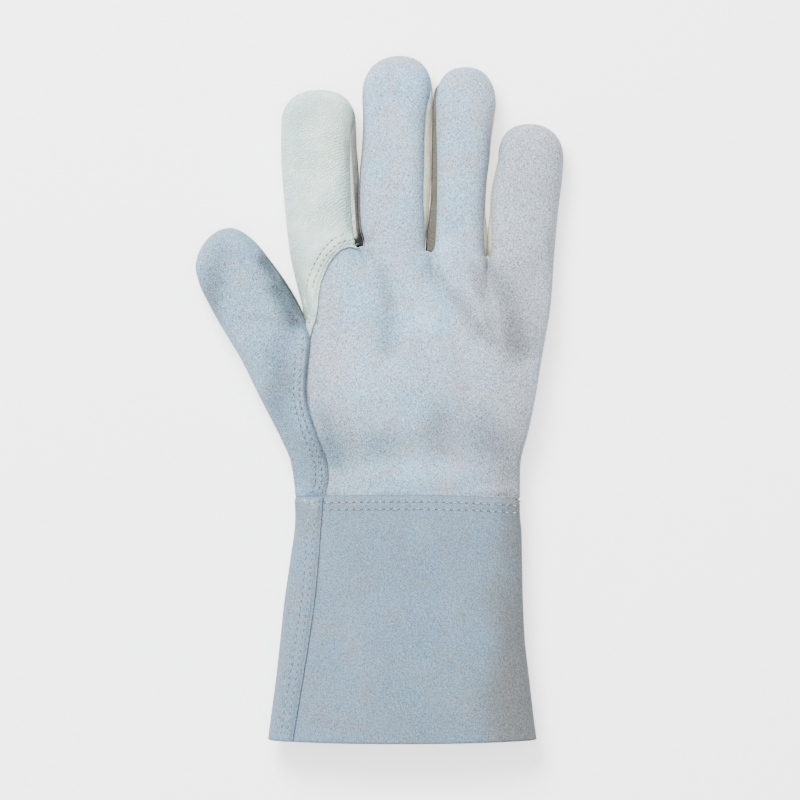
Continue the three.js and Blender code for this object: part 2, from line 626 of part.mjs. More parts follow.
// Back panel
function backPanel() {
  const sheet = new Sheet();
  const stripShares = { 0: evenShares(5), 1: shares(6), 2: shares(6), 3: shares(6) };
  const wall = [0.45, -0.25, -1];
  const handRows = [];
  const lapCount = INDEX_LAP.length - 1;
  const rowSteps = [];
  for (let v = 0; v <= THUMB_ATTACHED; v += 1) rowSteps.push({ thumb: v });
  for (let k = 1; k <= lapCount; k += 1) rowSteps.push({ lap: k });
  const lastThumb = THUMB[THUMB_ATTACHED];
  const cornerShare = (lastThumb.innerY - WRIST_END) / (CROTCHES[0].y - WRIST_END);
  for (const step of rowSteps) {
    let edge;
    let under;
    let share;
    if (step.thumb !== undefined) {
      const v = step.thumb;
      const row = thumbRow(v);
      edge = [row.innerX, row.innerY];
      share = (row.innerY - WRIST_END) / (CROTCHES[0].y - WRIST_END);
      const width = Math.hypot(row.innerX - row.outerX, row.innerY - row.outerY);
      const depth = thumbLapDepth(v, width);
      under = [1, 0.5].map((part) => {
        const across = 1 - (depth * part) / width;
        const [x, y] = thumbPlan(row, across);
        return cell(x, y, thumbTop(v, across), false, -sink(v));
      });
    } else {
      const k = step.lap;
      const lap = INDEX_LAP[k];
      edge = [lap.x, lap.y];
      share = lerp(cornerShare, 1, (k / lapCount) ** 0.92);
      const last = k === lapCount;
      under = [1, 0.5].map((part) => {
        const [x, y] = lapPlan(k, lap.depth * part);
        return cell(x, y, topHeight(0, x, y), last);
      });
    }
    const line = [...under];
    const last = step.lap === lapCount;
    const sinkHere = step.thumb !== undefined ? sink(step.thumb) : 0;
    for (let strip = 0; strip < 4; strip += 1) {
      const yLeft = strip === 0 ? edge[1] : lerp(WRIST_END, CROTCHES[strip - 1].y, share);
      const yRight = lerp(WRIST_END, strip === 3 ? 65.3 : CROTCHES[strip].y, share);
      const xLeft = strip === 0 ? edge[0] : stripEdge(strip, strip, yLeft, 1);
      const xRight = stripEdge(strip + 1, strip, yRight, 1);
      stripShares[strip].forEach((s, j) => {
        if (strip > 0 && j === 0) return;
        const x = lerp(xLeft, xRight, s);
        const y = lerp(yLeft, yRight, s);
        const local = strip === 0 ? 0 : strip;
        const drop = strip === 0 && j === 0 ? sinkHere : 0;
        line.push(cell(x, y, topHeight(local, x, y), last && (j === 0 || s === 1), -drop));
      });
      if (strip === 3) line.push(...wallCells(3, 1, yRight, wall, { lowGap: GAP }));
    }
    handRows.push(line);
  }
  sheet.grid(handRows);
  for (const strip of [1, 2, 3]) {
    const rows = fingerRowEnds(strip).map(([yLeft, yRight]) => {
      const xLeft = stripEdge(strip, strip, yLeft, 1);
      const xRight = stripEdge(strip + 1, strip, yRight, 1);
      const line = stripShares[strip].map((s) => {
        const x = lerp(xLeft, xRight, s);
        const y = lerp(yLeft, yRight, s);
        return cell(x, y, topHeight(strip, x, y), s === 0 || (s === 1 && strip < 3));
      });
      if (strip === 3) line.push(...wallCells(3, 1, yRight, wall, { lowGap: GAP }));
      return line;
    });
    sheet.grid(rows);
  }
  return sheet.solid(LEATHER);
}

// Depth of leather hidden beneath the thumb panel's edge, and how far the hidden leather
// sinks toward the wrist, where the cuff presses the lap flat.
function thumbLapDepth(v, width) {
  return Math.min(lerp(LAP_DEPTH, 0.9, smooth((v - 7) / 3)), width * 0.42);
}

function sink(v) {
  return LIFT * (1 - smooth((v - 1) / 2));
}

// Plan point at a distance beyond the index lap edge, square to it except at its two ends,
// where it follows the edges of the finger.
function lapPlan(k, distance) {
  const lap = INDEX_LAP[k];
  const last = INDEX_LAP.length - 1;
  if (k === last) {
    const y = CROTCHES[0].y + distance;
    return [wallX(0, 1, y, 1), y];
  }
  if (k === 0) {
    const y = lap.y + distance;
    return [wallX(0, -1, y, 1), y];
  }
  const before = INDEX_LAP[k - 1];
  const after = INDEX_LAP[k + 1];
  let dx = -(after.y - before.y);
  let dy = after.x - before.x;
  const length = Math.hypot(dx, dy);
  dx /= length;
  dy /= length;
  const along = { x: -0.3, y: 0.954 };
  const turn = clamp(1 - k / 3.4, 0, 1);
  dx = lerp(dx, along.x, turn);
  dy = lerp(dy, along.y, turn);
  const unit = Math.hypot(dx, dy);
  const x = lap.x + (dx / unit) * distance;
  const y = lap.y + (dy / unit) * distance;
  return [Math.max(x, wallX(0, -1, y, 1) + 1.2), y];
}

// Index leather: its lapped foot, the finger's back and its thumb side
function indexWrap() {
  const sheet = new Sheet();
  const count = INDEX_LAP.length - 1;
  const wall = [-1, -0.25, 0.45];
  const finish = shares(count);
  const rowY = (k, d) => lapPlan(k, d);
  const lines = [];
  const margins = [0, 0.5, 1, 'clear', 'ramp'];
  const footRows = margins.map((part) => INDEX_LAP.map((lap, k) => {
    const reach = lap.depth + 0.9;
    const beyond = part === 'ramp' ? reach + 3.6 : reach;
    const d = typeof part === 'number' ? lap.depth * part : beyond;
    const raise = part === 'ramp' ? 0 : LIFT;
    const [x, y] = rowY(k, d);
    return { x, y, raise };
  }));
  const topY = FINGER_LEVELS[0][0];
  for (const row of footRows) lines.push(row);
  for (const w of [0.34, 0.67]) {
    lines.push(footRows[4].map((from, k) => {
      const xl = wallX(0, -1, topY, 1);
      const xr = wallX(0, 1, topY, 1);
      const y = lerp(from.y, topY, w);
      const x = lerp(from.x, lerp(xl, xr, finish[k]), w);
      if (k === 0) return { x: wallX(0, -1, y, 1), y, raise: 0 };
      if (k === count) return { x: wallX(0, 1, y, 1), y, raise: 0 };
      return { x, y, raise: 0 };
    }));
  }
  for (const y of [...FINGER_LEVELS[0], ...tipRows(FINGERS[0])]) {
    const xl = wallX(0, -1, y, 1);
    const xr = wallX(0, 1, y, 1);
    lines.push(finish.map((s) => ({ x: lerp(xl, xr, s), y, raise: 0 })));
  }
  const rows = lines.map((line) => {
    const start = line[0];
    const side = wallCells(0, -1, start.y, wall, { lowGap: GAP, raise: start.raise });
    const top = line.map((at, k) => cell(
      at.x, at.y, topHeight(0, at.x, at.y), k === count && at.raise === 0, at.raise,
    ));
    return [...side, ...top];
  });
  sheet.grid(rows);
  return sheet.solid(LEATHER);
}

const THUMB_STEPS = [
  ...evenShares(THUMB_ATTACHED).map((s) => s * THUMB_ATTACHED), 10.5, 11, 12, 13, 14, 15,
  15.37, 15.67, 15.87, 15.975, 16,
];

// Cells of the thumb's outer or inner wall in a row.
function thumbWall(v, side, levels, options = {}) {
  const row = thumbRow(v);
  const across = side < 0 ? 0 : 1;
  const top = thumbTop(v, across) + (options.raise || 0) - (options.topGap || 0);
  const low = thumbPalm(v, across) + (options.lowGap || 0);
  return levels.map((level) => {
    const inset = top <= low + 0.25 ? 0.8 : 0.8 * level * level;
    const [x, y] = thumbPlan(row, across, inset, inset);
    let z = level > 0 ? lerp(row.middle, top, level) : lerp(row.middle, low, -level);
    if (top <= low + 0.25) z = side < 0 ? top : low;
    const seam = level === -1 || (level === 1 && Boolean(options.topGap));
    return cell(x, y, z, seam || top <= low + 0.25);
  });
}

function thumbPanel() {
  const sheet = new Sheet();
  const rows = THUMB_STEPS.map((v) => {
    const row = thumbRow(v);
    const width = Math.max(1e-6, Math.hypot(row.innerX - row.outerX, row.innerY - row.outerY));
    const hidden = thumbLapDepth(Math.min(v, THUMB_ATTACHED), width);
    const raise = (LIFT - sink(v)) * (1 - smooth((v - 10.4) / 1.1));
    const reach = hidden + 0.9;
    const ramp = Math.min(reach + 4.2, width * 0.86);
    const marks = [0, 0.5 * hidden, hidden, reach, ramp].map((d) => 1 - d / width);
    const start = v > 15 ? 0.42 : marks[4];
    const body = [0, 0.12, 0.29, 0.5, 0.74].map((s) => s * start);
    const nearLap = v > 15 ? [1, 0.88, 0.72, 0.57, 0.42] : marks;
    const across = [...body, ...nearLap.slice().reverse()];
    const lifts = [...body.map(() => 0), 0, raise, raise, raise, raise];
    const side = thumbWall(v, -1, [-1, -0.25, 0.45], { lowGap: GAP });
    const seamed = v > 11.4;
    const top = across.map((a, i) => {
      const [x, y] = thumbPlan(row, a);
      return cell(x, y, thumbTop(v, a), seamed && i === across.length - 1, lifts[i]);
    });
    return [...side, ...top];
  });
  sheet.grid(rows);
  return sheet.solid(LEATHER);
}

function thumbFront() {
  const sheet = new Sheet();
  const rows = THUMB_STEPS.map((v) => {
    const row = thumbRow(v);
    return [1, 0.88, 0.7, 0.5, 0.3, 0.12, 0].map((a) => {
      const [x, y] = thumbPlan(row, a);
      const shift = a === 1 && v <= THUMB_ATTACHED ? -GAP : 0;
      return cell(x + shift, y, thumbPalm(v, a), a === 0 || (a === 1 && v > THUMB_ATTACHED));
    });
  });
  sheet.grid(rows);
  const free = THUMB_STEPS.filter((v) => v >= 10.5);
  sheet.grid(free.map((v) => {
    const side = thumbWall(v, 1, [1, 0.35, -0.35, -1], { topGap: GAP });
    const last = side[side.length - 1];
    last.seam = false;
    return side;
  }));
  return sheet.solid(LEATHER);
}

// Palm leather of the hand and four fingers
function palmPanel() {
  const sheet = new Sheet();
  const stripShares = shares(5).slice().reverse();
  const leftRows = [];
  for (const v of [0, 1, 2, 3.2, 4.4, 5.6, 6.8, 8, 9, 10]) {
    const row = thumbRow(v);
    leftRows.push([row.innerX + GAP, row.innerY]);
  }
  for (const y of [36.4, 41, 47, 53.5, 60, 66, 70.8]) leftRows.push([wallX(0, -1, y, -1), y]);
  const handRows = leftRows.map(([xStart, yStart]) => {
    const share = (yStart - WRIST_END) / (CROTCHES[0].y - WRIST_END);
    const line = [];
    for (let strip = 3; strip >= 0; strip -= 1) {
      const yLeft = strip === 0 ? yStart : lerp(WRIST_END, CROTCHES[strip - 1].y, share);
      const yRight = lerp(WRIST_END, strip === 3 ? 65.3 : CROTCHES[strip].y, share);
      const xLeft = strip === 0 ? xStart : stripEdge(strip, strip, yLeft, -1);
      const xRight = stripEdge(strip + 1, strip, yRight, -1);
      stripShares.forEach((s) => {
        if (strip < 3 && s === 1) return;
        const x = lerp(xLeft, xRight, s);
        const y = lerp(yLeft, yRight, s);
        const outer = (strip === 3 && s === 1) || (strip === 0 && s === 0 && yStart > 36);
        const crotch = share > 0.9999 && (s === 0 || s === 1);
        line.push(cell(x, y, palmHeight(strip, x, y), outer || crotch));
      });
    }
    return line;
  });
  sheet.grid(handRows);
  for (let strip = 0; strip < 4; strip += 1) {
    const ends = fingerRowEnds(strip);
    if (strip === 0) {
      ends.forEach((pair, i) => {
        if (i < 4) pair[0] = [70.8, 72.4, 75, 79][i];
      });
    }
    sheet.grid(ends.map(([yLeft, yRight]) => stripShares.map((s) => {
      const x = lerp(stripEdge(strip, strip, yLeft, -1), stripEdge(strip + 1, strip, yRight, -1), s);
      const y = lerp(yLeft, yRight, s);
      return cell(x, y, palmHeight(strip, x, y), s === 0 || s === 1);
    })));
  }
  return sheet.solid(LEATHER);
}

// Strip between two fingers: up one side, round the crotch and down the other
function fourchette(boundary) {
  const sheet = new Sheet();
  const crotch = CROTCHES[boundary - 1];
  const levels = [-1, -0.35, 0.35, 1];
  const options = { topGap: GAP, lowGap: GAP };
  const heights = (strip, column) => fingerRowEnds(strip).map((pair) => pair[column])
    .filter((y) => y > crotch.y + 1e-6 && seamClosing(FINGERS[strip], y) > 0);
  const closeAt = (strip) => {
    const finger = FINGERS[strip];
    return finger.tipStart + 0.7 * (finger.tipEnd - finger.tipStart);
  };
  const leftYs = [...heights(boundary - 1, 1), closeAt(boundary - 1)];
  const rightYs = [...heights(boundary, 0), closeAt(boundary)];
  const rows = [];
  for (const y of leftYs.reverse()) rows.push(wallCells(boundary - 1, 1, y, levels, options));
  rows.push(wallCells(boundary, -1, crotch.y, levels, options));
  for (const y of rightYs) rows.push(wallCells(boundary, -1, y, levels, options));
  sheet.grid(rows);
  return sheet.solid(LEATHER);
}

// Gauntlet cuff: one sheet wrapped round the wrist, its ends lapped on the thumb side
function cuffPanel() {
  const sheet = new Sheet();
  const outer = (x, y, z, swell = 0) => ({ p: [x, y, z], seam: false, lift: 0, swell });
  const levelsY = [0, 0.12, 0.26, 0.4, 0.54, 0.66, 0.77, 0.86, 0.925, 1];
  const rows = levelsY.map((share) => {
    const yMid = lerp(CUFF_END, -46, share);
    const value = (column) => sample(CUFF, yMid, column);
    const left = value('left');
    const right = value('right');
    const middle = value('middle');
    const crown = value('crown');
    const topLeft = left + 0.8;
    const topRight = right - 0.8;
    const seamX = value('seam');
    const depth = lerp(8.5, 6.2, share);
    const wave = (x, top) => {
      const q = (2 * x - left - right) / (right - left);
      const lower = -1.5 * (1 - q * q) * (1 - share) * (top ? 1 : 0.4);
      const upper = (0.9 * (1 - q * q) - 1.2 * Math.max(0, q) ** 2) * smooth((share - 0.8) / 0.2);
      return yMid + lower + upper;
    };
    const topZ = (x) => middle + crown * roundness(
      clamp((2 * x - topLeft - topRight) / (topRight - topLeft), -1, 1),
    ) + GAP / 2;
    const lowZ = (x) => Math.max(0, middle - middle * UNDERSIDE_FULLNESS * roundness(
      clamp((2 * x - topLeft - topRight) / (topRight - topLeft), -1, 1),
    ));
    const seamUnder = seamX - depth;
    const line = [];
    for (const s of evenShares(12)) {
      const turned = s < 0.25 ? s : 0.25 + 0.75 * Math.sin(((s - 0.25) / 0.75) * (Math.PI / 2)) ** 1.1;
      const x = lerp(seamUnder, topRight, turned);
      line.push(outer(x, wave(x, true), topZ(x)));
    }
    const seamTop = topZ(topRight);
    const seamLow = lowZ(topRight);
    for (const level of [0.5, 0, -0.5]) {
      const z = level > 0 ? lerp(middle, seamTop, level) : lerp(middle, seamLow, -level);
      line.push(outer(right - 0.8 * level * level, wave(right, false), z));
    }
    for (const s of shares(8)) {
      const x = lerp(topRight, topLeft, s);
      line.push(outer(x, wave(x, false), lowZ(x)));
    }
    const sideLow = lowZ(topLeft);
    const sideTop = topZ(topLeft);
    for (const level of [-0.5, 0, 0.5]) {
      const z = level > 0 ? lerp(middle, sideTop, level) : lerp(middle, sideLow, -level);
      const swell = level > 0 ? LIFT * 0.6 : 0;
      line.push(outer(left + 0.8 * level * level, wave(left, true), z, swell));
    }
    line.push(outer(topLeft, wave(topLeft, true), topZ(topLeft), LIFT));
    const reach = Math.max(seamUnder - 0.9, topLeft + 0.8);
    for (const s of [0, 0.5, 1]) {
      const x = lerp(reach, seamX, s);
      line.push(outer(x, wave(x, true), topZ(x), LIFT));
    }
    return line;
  });
  sheet.grid(rows);
  return sheet.solid(LEATHER);
}

const split = new THREE.MeshStandardMaterial({ color: 0xbcc6cd, roughness: 0.95, metalness: 0 });
const grain = new THREE.MeshStandardMaterial({ color: 0xd8dbd2, roughness: 0.62, metalness: 0 });

const glove = new THREE.Group();
const pieces = [
  ['back_panel', backPanel(), split],
  ['index_wrap', indexWrap(), grain],
  ['thumb_panel', thumbPanel(), split],
  ['thumb_front', thumbFront(), grain],
  ['palm_panel', palmPanel(), grain],
  ['fourchette_index_middle', fourchette(1), grain],
  ['fourchette_middle_ring', fourchette(2), grain],
  ['fourchette_ring_little', fourchette(3), grain],
  ['cuff', cuffPanel(), split],
];
for (const [name, geometry, material] of pieces) {
  const mesh = new THREE.Mesh(geometry, material.clone());
  mesh.name = name;
  glove.add(mesh);
}

export default glove;
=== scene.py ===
# %% [markdown]
# # A leather work glove lying palm down
#
# This lesson builds one right-hand gauntlet glove from curved leather sheets.
# Every sheet is computed with numpy on a grid: rows run from the cuff toward the fingertips,
# columns run round the hand. The sheets are then given their thickness, sewn together with
# real thread along the lapped seams, and finished with node-based leather.

# %% [markdown]
# ## The fixed frame
#
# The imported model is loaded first. Its boxes are kept, because the finished glove has to
# stay the same size. All tables below are in millimetres; objects are made in metres.

import math

import bpy
import numpy as np
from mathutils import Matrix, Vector
from mathutils.bvhtree import BVHTree


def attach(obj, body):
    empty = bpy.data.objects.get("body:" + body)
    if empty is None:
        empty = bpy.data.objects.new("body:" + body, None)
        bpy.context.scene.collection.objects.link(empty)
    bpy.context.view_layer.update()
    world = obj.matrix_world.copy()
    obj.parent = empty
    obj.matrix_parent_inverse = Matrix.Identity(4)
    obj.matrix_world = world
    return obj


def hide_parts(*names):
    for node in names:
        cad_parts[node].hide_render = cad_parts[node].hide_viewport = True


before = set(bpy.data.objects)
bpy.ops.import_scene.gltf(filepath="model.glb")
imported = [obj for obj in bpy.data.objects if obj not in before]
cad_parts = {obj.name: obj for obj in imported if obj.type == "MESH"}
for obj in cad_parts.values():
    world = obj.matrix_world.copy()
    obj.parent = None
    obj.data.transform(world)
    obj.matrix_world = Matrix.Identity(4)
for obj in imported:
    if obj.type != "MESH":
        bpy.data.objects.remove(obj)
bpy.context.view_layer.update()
MM = 0.001

# %% [markdown]
# ## Named sizes
#
# The leather is 1.8 mm thick. A lapped edge is lifted by its own thickness and a little
# more, so that it rides over the leather beneath it.
# The numbers could be typed where they are used. Named once, they stay the same in every
# piece that shares them.

# %% Sizes of the leather and its laps
LEATHER = 1.8
GAP = 0.3
LIFT = LEATHER + GAP + 0.35
SIDE_INSET = 0.8
SECTION_POWER = 2.6
TIP_POWER = 2.3
SEAM_EDGE = 0.95
UNDERSIDE_FULLNESS = 1.15
WRIST_END = -54.0
CUFF_TOP = -46.0
CUFF_END = -159.69
LAP_DEPTH = 8.0
VALLEY_LENGTH = 17.0
THUMB_VALLEY_LENGTH = 32.0
THUMB_CROTCH_Y = 35.5
LITTLE_SIDE_Y = 65.3
INDEX_ROWS = (2.8, 5.8)
THUMB_ROWS = (3.0, 5.8)
WRIST_ROWS = (3.3, 6.8)
CUFF_ROWS = (3.0, 6.0)


def table(columns, *rows, counted=None):
    """Named columns, each an array with one value for each row; counted numbers the rows."""
    values = np.array(rows, dtype=float)
    named = {name: values[:, i] for i, name in enumerate(columns.split())}
    return named | ({counted: np.arange(len(rows), dtype=float)} if counted else {})


# %% [markdown]
# ## Tables of the hand
#
# `middle` is the height of the widest level of a section, `crown` the height of the back
# above it. `left` and `right` are the silhouette seen from above.
# The outline could be drawn as a curve by hand. A short table with a row for each section
# is easier to compare with a glove and to correct.

# %% Sections of the hand, laps and crotches
HAND = table(
    "y left right middle crown",
    (-54.0, -39.7, 65.9, 13.7, 14.5),
    (-46.0, -39.8, 65.9, 13.5, 15.0),
    (-40.4, -39.9, 65.9, 13.3, 15.6),
    (-28.7, -41.0, 66.4, 13.0, 16.5),
    (-14.6, -43.0, 70.1, 12.8, 18.6),
    (-0.5, -44.0, 73.0, 12.6, 19.8),
    (13.6, -43.0, 75.3, 12.5, 19.8),
    (27.7, -40.0, 77.7, 12.3, 18.4),
    (39.5, -37.0, 79.8, 12.1, 16.6),
    (51.2, -38.4, 81.0, 11.9, 14.8),
    (65.3, -41.7, 81.9, 11.7, 13.2),
    (75.0, -43.1, 82.6, 11.6, 12.4),
)

FINGER_COLUMNS = "y left right slant_left slant_right crown"
FINGERS = [
    dict(tip_start=128.8, tip_end=145.3, tip_x=-28.3, middle=11.5, rows=table(
        FINGER_COLUMNS,
        (35.5, -35.2, -9.8, 1.8, 0.6, 12.6),
        (44.2, -36.6, -9.8, 1.8, 0.6, 12.6),
        (51.2, -38.4, -9.8, 1.8, 0.6, 12.6),
        (65.3, -41.7, -11.0, 1.8, 0.6, 12.6),
        (74.7, -43.1, -11.6, 1.8, 0.6, 12.6),
        (84.0, -44.1, -11.2, 1.8, 1.9, 12.4),
        (93.5, -45.0, -10.8, 1.8, 2.9, 12.2),
        (109.0, -46.2, -10.7, 1.8, 3.3, 12.0),
        (117.0, -46.5, -10.8, 1.8, 3.2, 12.0),
        (128.8, -46.4, -11.3, 1.8, 2.4, 11.6),
    )),
    dict(tip_start=142.0, tip_end=161.2, tip_x=9.2, middle=11.6, rows=table(
        FINGER_COLUMNS,
        (70.8, -8.0, 21.2, 0.7, 0.5, 12.6),
        (73.3, -7.6, 21.4, 0.7, 0.6, 12.6),
        (80.8, -9.3, 22.3, 0.7, 1.3, 12.5),
        (93.5, -9.9, 23.4, 0.7, 3.0, 12.3),
        (107.6, -9.4, 24.1, 0.7, 3.4, 12.1),
        (114.7, -8.7, 24.1, 0.7, 3.3, 12.1),
        (126.4, -8.0, 24.2, 0.7, 3.1, 12.0),
        (135.4, -8.0, 24.6, 0.7, 2.8, 11.8),
        (142.0, -8.3, 24.9, 0.7, 2.2, 11.6),
    )),
    dict(tip_start=137.5, tip_end=156.0, tip_x=40.2, middle=11.5, rows=table(
        FINGER_COLUMNS,
        (68.6, 25.2, 49.6, 0.7, 0.7, 12.5),
        (74.7, 25.5, 49.6, 0.7, 0.7, 12.4),
        (86.9, 26.0, 49.5, 0.7, 0.7, 12.1),
        (102.9, 26.3, 50.4, 0.7, 0.7, 11.8),
        (112.3, 26.2, 51.6, 0.7, 0.7, 11.7),
        (121.7, 26.0, 52.4, 0.7, 0.7, 11.6),
        (130.4, 25.8, 53.7, 0.7, 0.7, 11.5),
        (137.5, 25.9, 54.7, 0.7, 0.7, 11.3),
    )),
    dict(tip_start=112.5, tip_end=129.2, tip_x=70.2, middle=11.4, rows=table(
        FINGER_COLUMNS,
        (65.3, 51.9, 81.9, 0.7, 1.4, 12.0),
        (74.7, 51.8, 82.7, 0.7, 1.4, 11.8),
        (88.8, 51.8, 84.0, 0.7, 1.4, 11.4),
        (98.2, 52.4, 85.2, 0.7, 1.4, 11.1),
        (105.5, 53.9, 86.0, 0.7, 1.4, 11.0),
        (112.5, 55.6, 86.4, 0.7, 1.4, 10.8),
    )),
]

CROTCHES = [
    dict(x=-9.6, y=70.8, radius=2.1, line=table(
        "y x", (-54, -2), (0, 0), (23, 1.5), (46.5, 1.0), (58, -3.5), (70.8, -9.6))),
    dict(x=23.2, y=68.6, radius=2.0, line=table(
        "y x", (-54, 20), (0, 24), (40, 26), (55, 25.3), (68.6, 23.2))),
    dict(x=50.75, y=66.3, radius=1.15, line=table(
        "y x", (-54, 42), (0, 46.5), (50, 50), (66.3, 50.75))),
]

THUMB = table(
    "outer_x outer_y inner_x inner_y middle crown",
    (-39.7, -54.0, -26.8, -54.0, 13.7, 12.0),
    (-39.8, -46.0, -25.6, -44.8, 13.5, 12.4),
    (-40.4, -38.6, -24.2, -37.4, 13.2, 12.8),
    (-42.2, -28.4, -25.0, -28.2, 13.0, 13.2),
    (-45.8, -20.0, -28.2, -19.6, 12.9, 13.6),
    (-50.0, -11.5, -31.9, -9.4, 12.8, 14.0),
    (-54.2, -3.5, -34.2, 0.6, 12.7, 14.3),
    (-58.1, 4.2, -34.2, 10.0, 12.6, 14.5),
    (-62.2, 12.8, -33.4, 19.0, 12.5, 14.6),
    (-65.9, 19.9, -32.7, 27.4, 12.4, 14.5),
    (-69.0, 25.0, -34.3, 34.2, 12.3, 14.2),
    (-72.0, 30.0, -36.0, 40.4, 12.2, 13.8),
    (-76.6, 37.6, -39.5, 47.5, 12.1, 13.2),
    (-81.0, 45.8, -44.0, 54.9, 12.0, 12.5),
    (-84.4, 52.8, -48.7, 61.6, 11.9, 12.0),
    (-86.4, 59.5, -53.1, 67.3, 11.8, 11.5), counted="v")
THUMB_LAST = len(THUMB["v"]) - 1
THUMB_ATTACHED = 10
THUMB_TIP_LENGTH = 17.0
THUMB_TIP_POWER = 1.74

LAP_CURVE = ((-28.9, 48.6, 1.8), (-27.6, 55.2, 6.0), (-24.0, 63.0, 8.0), (-19.4, 69.0, 6.0),
             (-14.8, 71.3, 2.9), (-9.6, 70.8, 1.6))
INDEX_LAP = table("x y depth", (-34.0, 35.9, 0.8), (-31.0, 36.0, 0.4), (-29.4, 40.8, 0.4),
                  *LAP_CURVE, counted="k")
INDEX_FOOT = table("x y depth", (-34.0, 35.9, 0.5), (-33.2, 29.4, 0.5), (-31.7, 33.1, 0.5),
                   (-30.2, 37.9, 0.5), (-29.4, 42.8, 0.8), *LAP_CURVE, counted="k")
LAP_LAST = len(INDEX_LAP["k"]) - 1
FOOT_LAST = len(INDEX_FOOT["k"]) - 1

CUFF = table(
    "y left right middle crown seam",
    (-159.69, -52.5, 73.7, 14.4, 15.4, -40.8),
    (-150.9, -51.4, 72.5, 14.4, 15.4, -39.4),
    (-132.1, -48.9, 70.3, 14.3, 15.3, -36.3),
    (-113.3, -46.8, 68.2, 14.2, 15.1, -33.3),
    (-94.5, -44.8, 67.3, 14.1, 14.9, -30.6),
    (-75.7, -42.1, 66.9, 14.0, 14.7, -28.8),
    (-61.6, -40.1, 66.6, 13.9, 14.6, -27.8),
    (-54.0, -39.7, 65.9, 13.7, 14.5, -27.2),
    (-46.0, -39.8, 65.9, 13.5, 15.0, -26.6),
)

FOLDS = table(
    "from_x from_y to_x to_y width depth",
    (-6.9, 70, 2.0, 24, 8, 1.2),
    (22.7, 67, 43.0, 12, 7, 1.4),
    (36.0, 78, 45.0, 44, 6, 1.0),
    (-14.0, -14, 8.0, -30, 12, 1.6),
    (45.0, 0, 62.0, -38, 11, 1.8),
    (57.0, 32, 66.0, 18, 8, 1.2),
    (-62.0, 36, -40.0, 33, 6, 1.2),
    (10.0, -38, 34.0, -42, 7, -0.8),
)

# %% [markdown]
# ## Curves and sections
#
# `sample` reads a table with a smooth cubic. `roundness` is the height of a rounded
# section at a place between its two seams, as a share of its crown.
# A section could be a spline with many points. A power curve rounds evenly and needs only
# one number.

# %% Smooth reading of the tables


def lerp(a, b, t):
    """a where t is 0, b where t is 1, and a straight line between them."""
    return a + (b - a) * t


def smooth(t):
    """Zero below 0, one above 1, and the cubic 3t^2 - 2t^3 between."""
    c = np.clip(t, 0.0, 1.0)
    return c * c * (3.0 - 2.0 * c)


def sample(columns, at, name, along="y"):
    """Cubic through the rows whose slope at a row joins the rows on either side of it."""
    at = np.asarray(at, dtype=float)
    xs = columns[along]
    values = columns[name]
    before = np.maximum(np.arange(len(xs)) - 1, 0)
    after = np.minimum(np.arange(len(xs)) + 1, len(xs) - 1)
    slopes = (values[after] - values[before]) / (xs[after] - xs[before])
    inside = np.clip(at, xs[0], xs[-1])
    i = np.clip(np.searchsorted(xs, inside, side="right") - 1, 0, len(xs) - 2)
    h = xs[i + 1] - xs[i]
    t = (inside - xs[i]) / h
    t2, t3 = t * t, t * t * t
    return (
        (2 * t3 - 3 * t2 + 1) * values[i] + (t3 - 2 * t2 + t) * h * slopes[i]
        + (3 * t2 - 2 * t3) * values[i + 1] + (t3 - t2) * h * slopes[i + 1]
    )


def quarter(t, power):
    """(1 - t^n)^(1/n), a rounded quarter that falls from 1 at t = 0 to 0 at t = 1."""
    return np.maximum(0, 1 - t ** power) ** (1 / power)


SEAM_HEIGHT = (1 - SEAM_EDGE ** SECTION_POWER) ** (1 / SECTION_POWER)


def roundness(q, closing=1.0):
    """(1 - |e q|^n)^(1/n), with e such that the seam at q = 1 has its height."""
    level = SEAM_HEIGHT * np.asarray(closing, dtype=float)
    edge = (1 - level ** SECTION_POWER) ** (1 / SECTION_POWER)
    return quarter(np.abs(edge * q), SECTION_POWER)


def bells(x, y, lines):
    """For each line its depth times exp(-(d / width)^2), d the distance to it in plan."""
    for from_x, from_y, to_x, to_y, width, depth in zip(*lines.values()):
        dx, dy = to_x - from_x, to_y - from_y
        t = np.clip(((x - from_x) * dx + (y - from_y) * dy) / (dx * dx + dy * dy), 0, 1)
        away = np.hypot(x - from_x - t * dx, y - from_y - t * dy)
        yield depth * np.exp(-(away / width) ** 2)


def deepest(x, y, lines):
    """The strongest bell at each point, so that joined lines do not add up."""
    return np.maximum.reduce([np.zeros(np.broadcast(x, y).shape), *bells(x, y, lines)])


def tip_turn(finger, y):
    """Share of the way from the start of a fingertip to its end."""
    return np.clip((y - finger["tip_start"]) / (finger["tip_end"] - finger["tip_start"]), 0, 1)


def tip_scale(finger, y):
    """Width of a fingertip as a share of the finger, a rounded quarter section."""
    return quarter(tip_turn(finger, y), TIP_POWER)


def seam_closing(finger, y):
    """1 along the finger, 0 where top and palm leather meet at the tip."""
    length = 8 + 0.7 * (finger["tip_end"] - finger["tip_start"])
    return 1 - smooth((y - (finger["tip_start"] - 8)) / length)


# %% [markdown]
# ## Soft relief
#
# Leather is never smooth. A value noise on a square lattice gives slow dents, and short
# creases are added near the crotches and along the seams.
# A cloth simulation could crease the leather too, but not in the places where this glove
# has its few folds. So each fold is a row with two ends, a width and a depth.

# %% Noise and folds


def lattice_noise(x, y, size, seed):
    """Value noise between -1 and 1: random heights on a lattice, joined by smooth curves."""
    heights = np.random.default_rng(seed).uniform(-1, 1, (64, 64))
    u, v = x / size + 31.7, y / size + 17.3
    i, j = np.floor(u).astype(int), np.floor(v).astype(int)
    fu, fv = smooth(u - i), smooth(v - j)
    low = lerp(heights[i % 64, j % 64], heights[(i + 1) % 64, j % 64], fu)
    high = lerp(heights[i % 64, (j + 1) % 64], heights[(i + 1) % 64, (j + 1) % 64], fu)
    return lerp(low, high, fv)


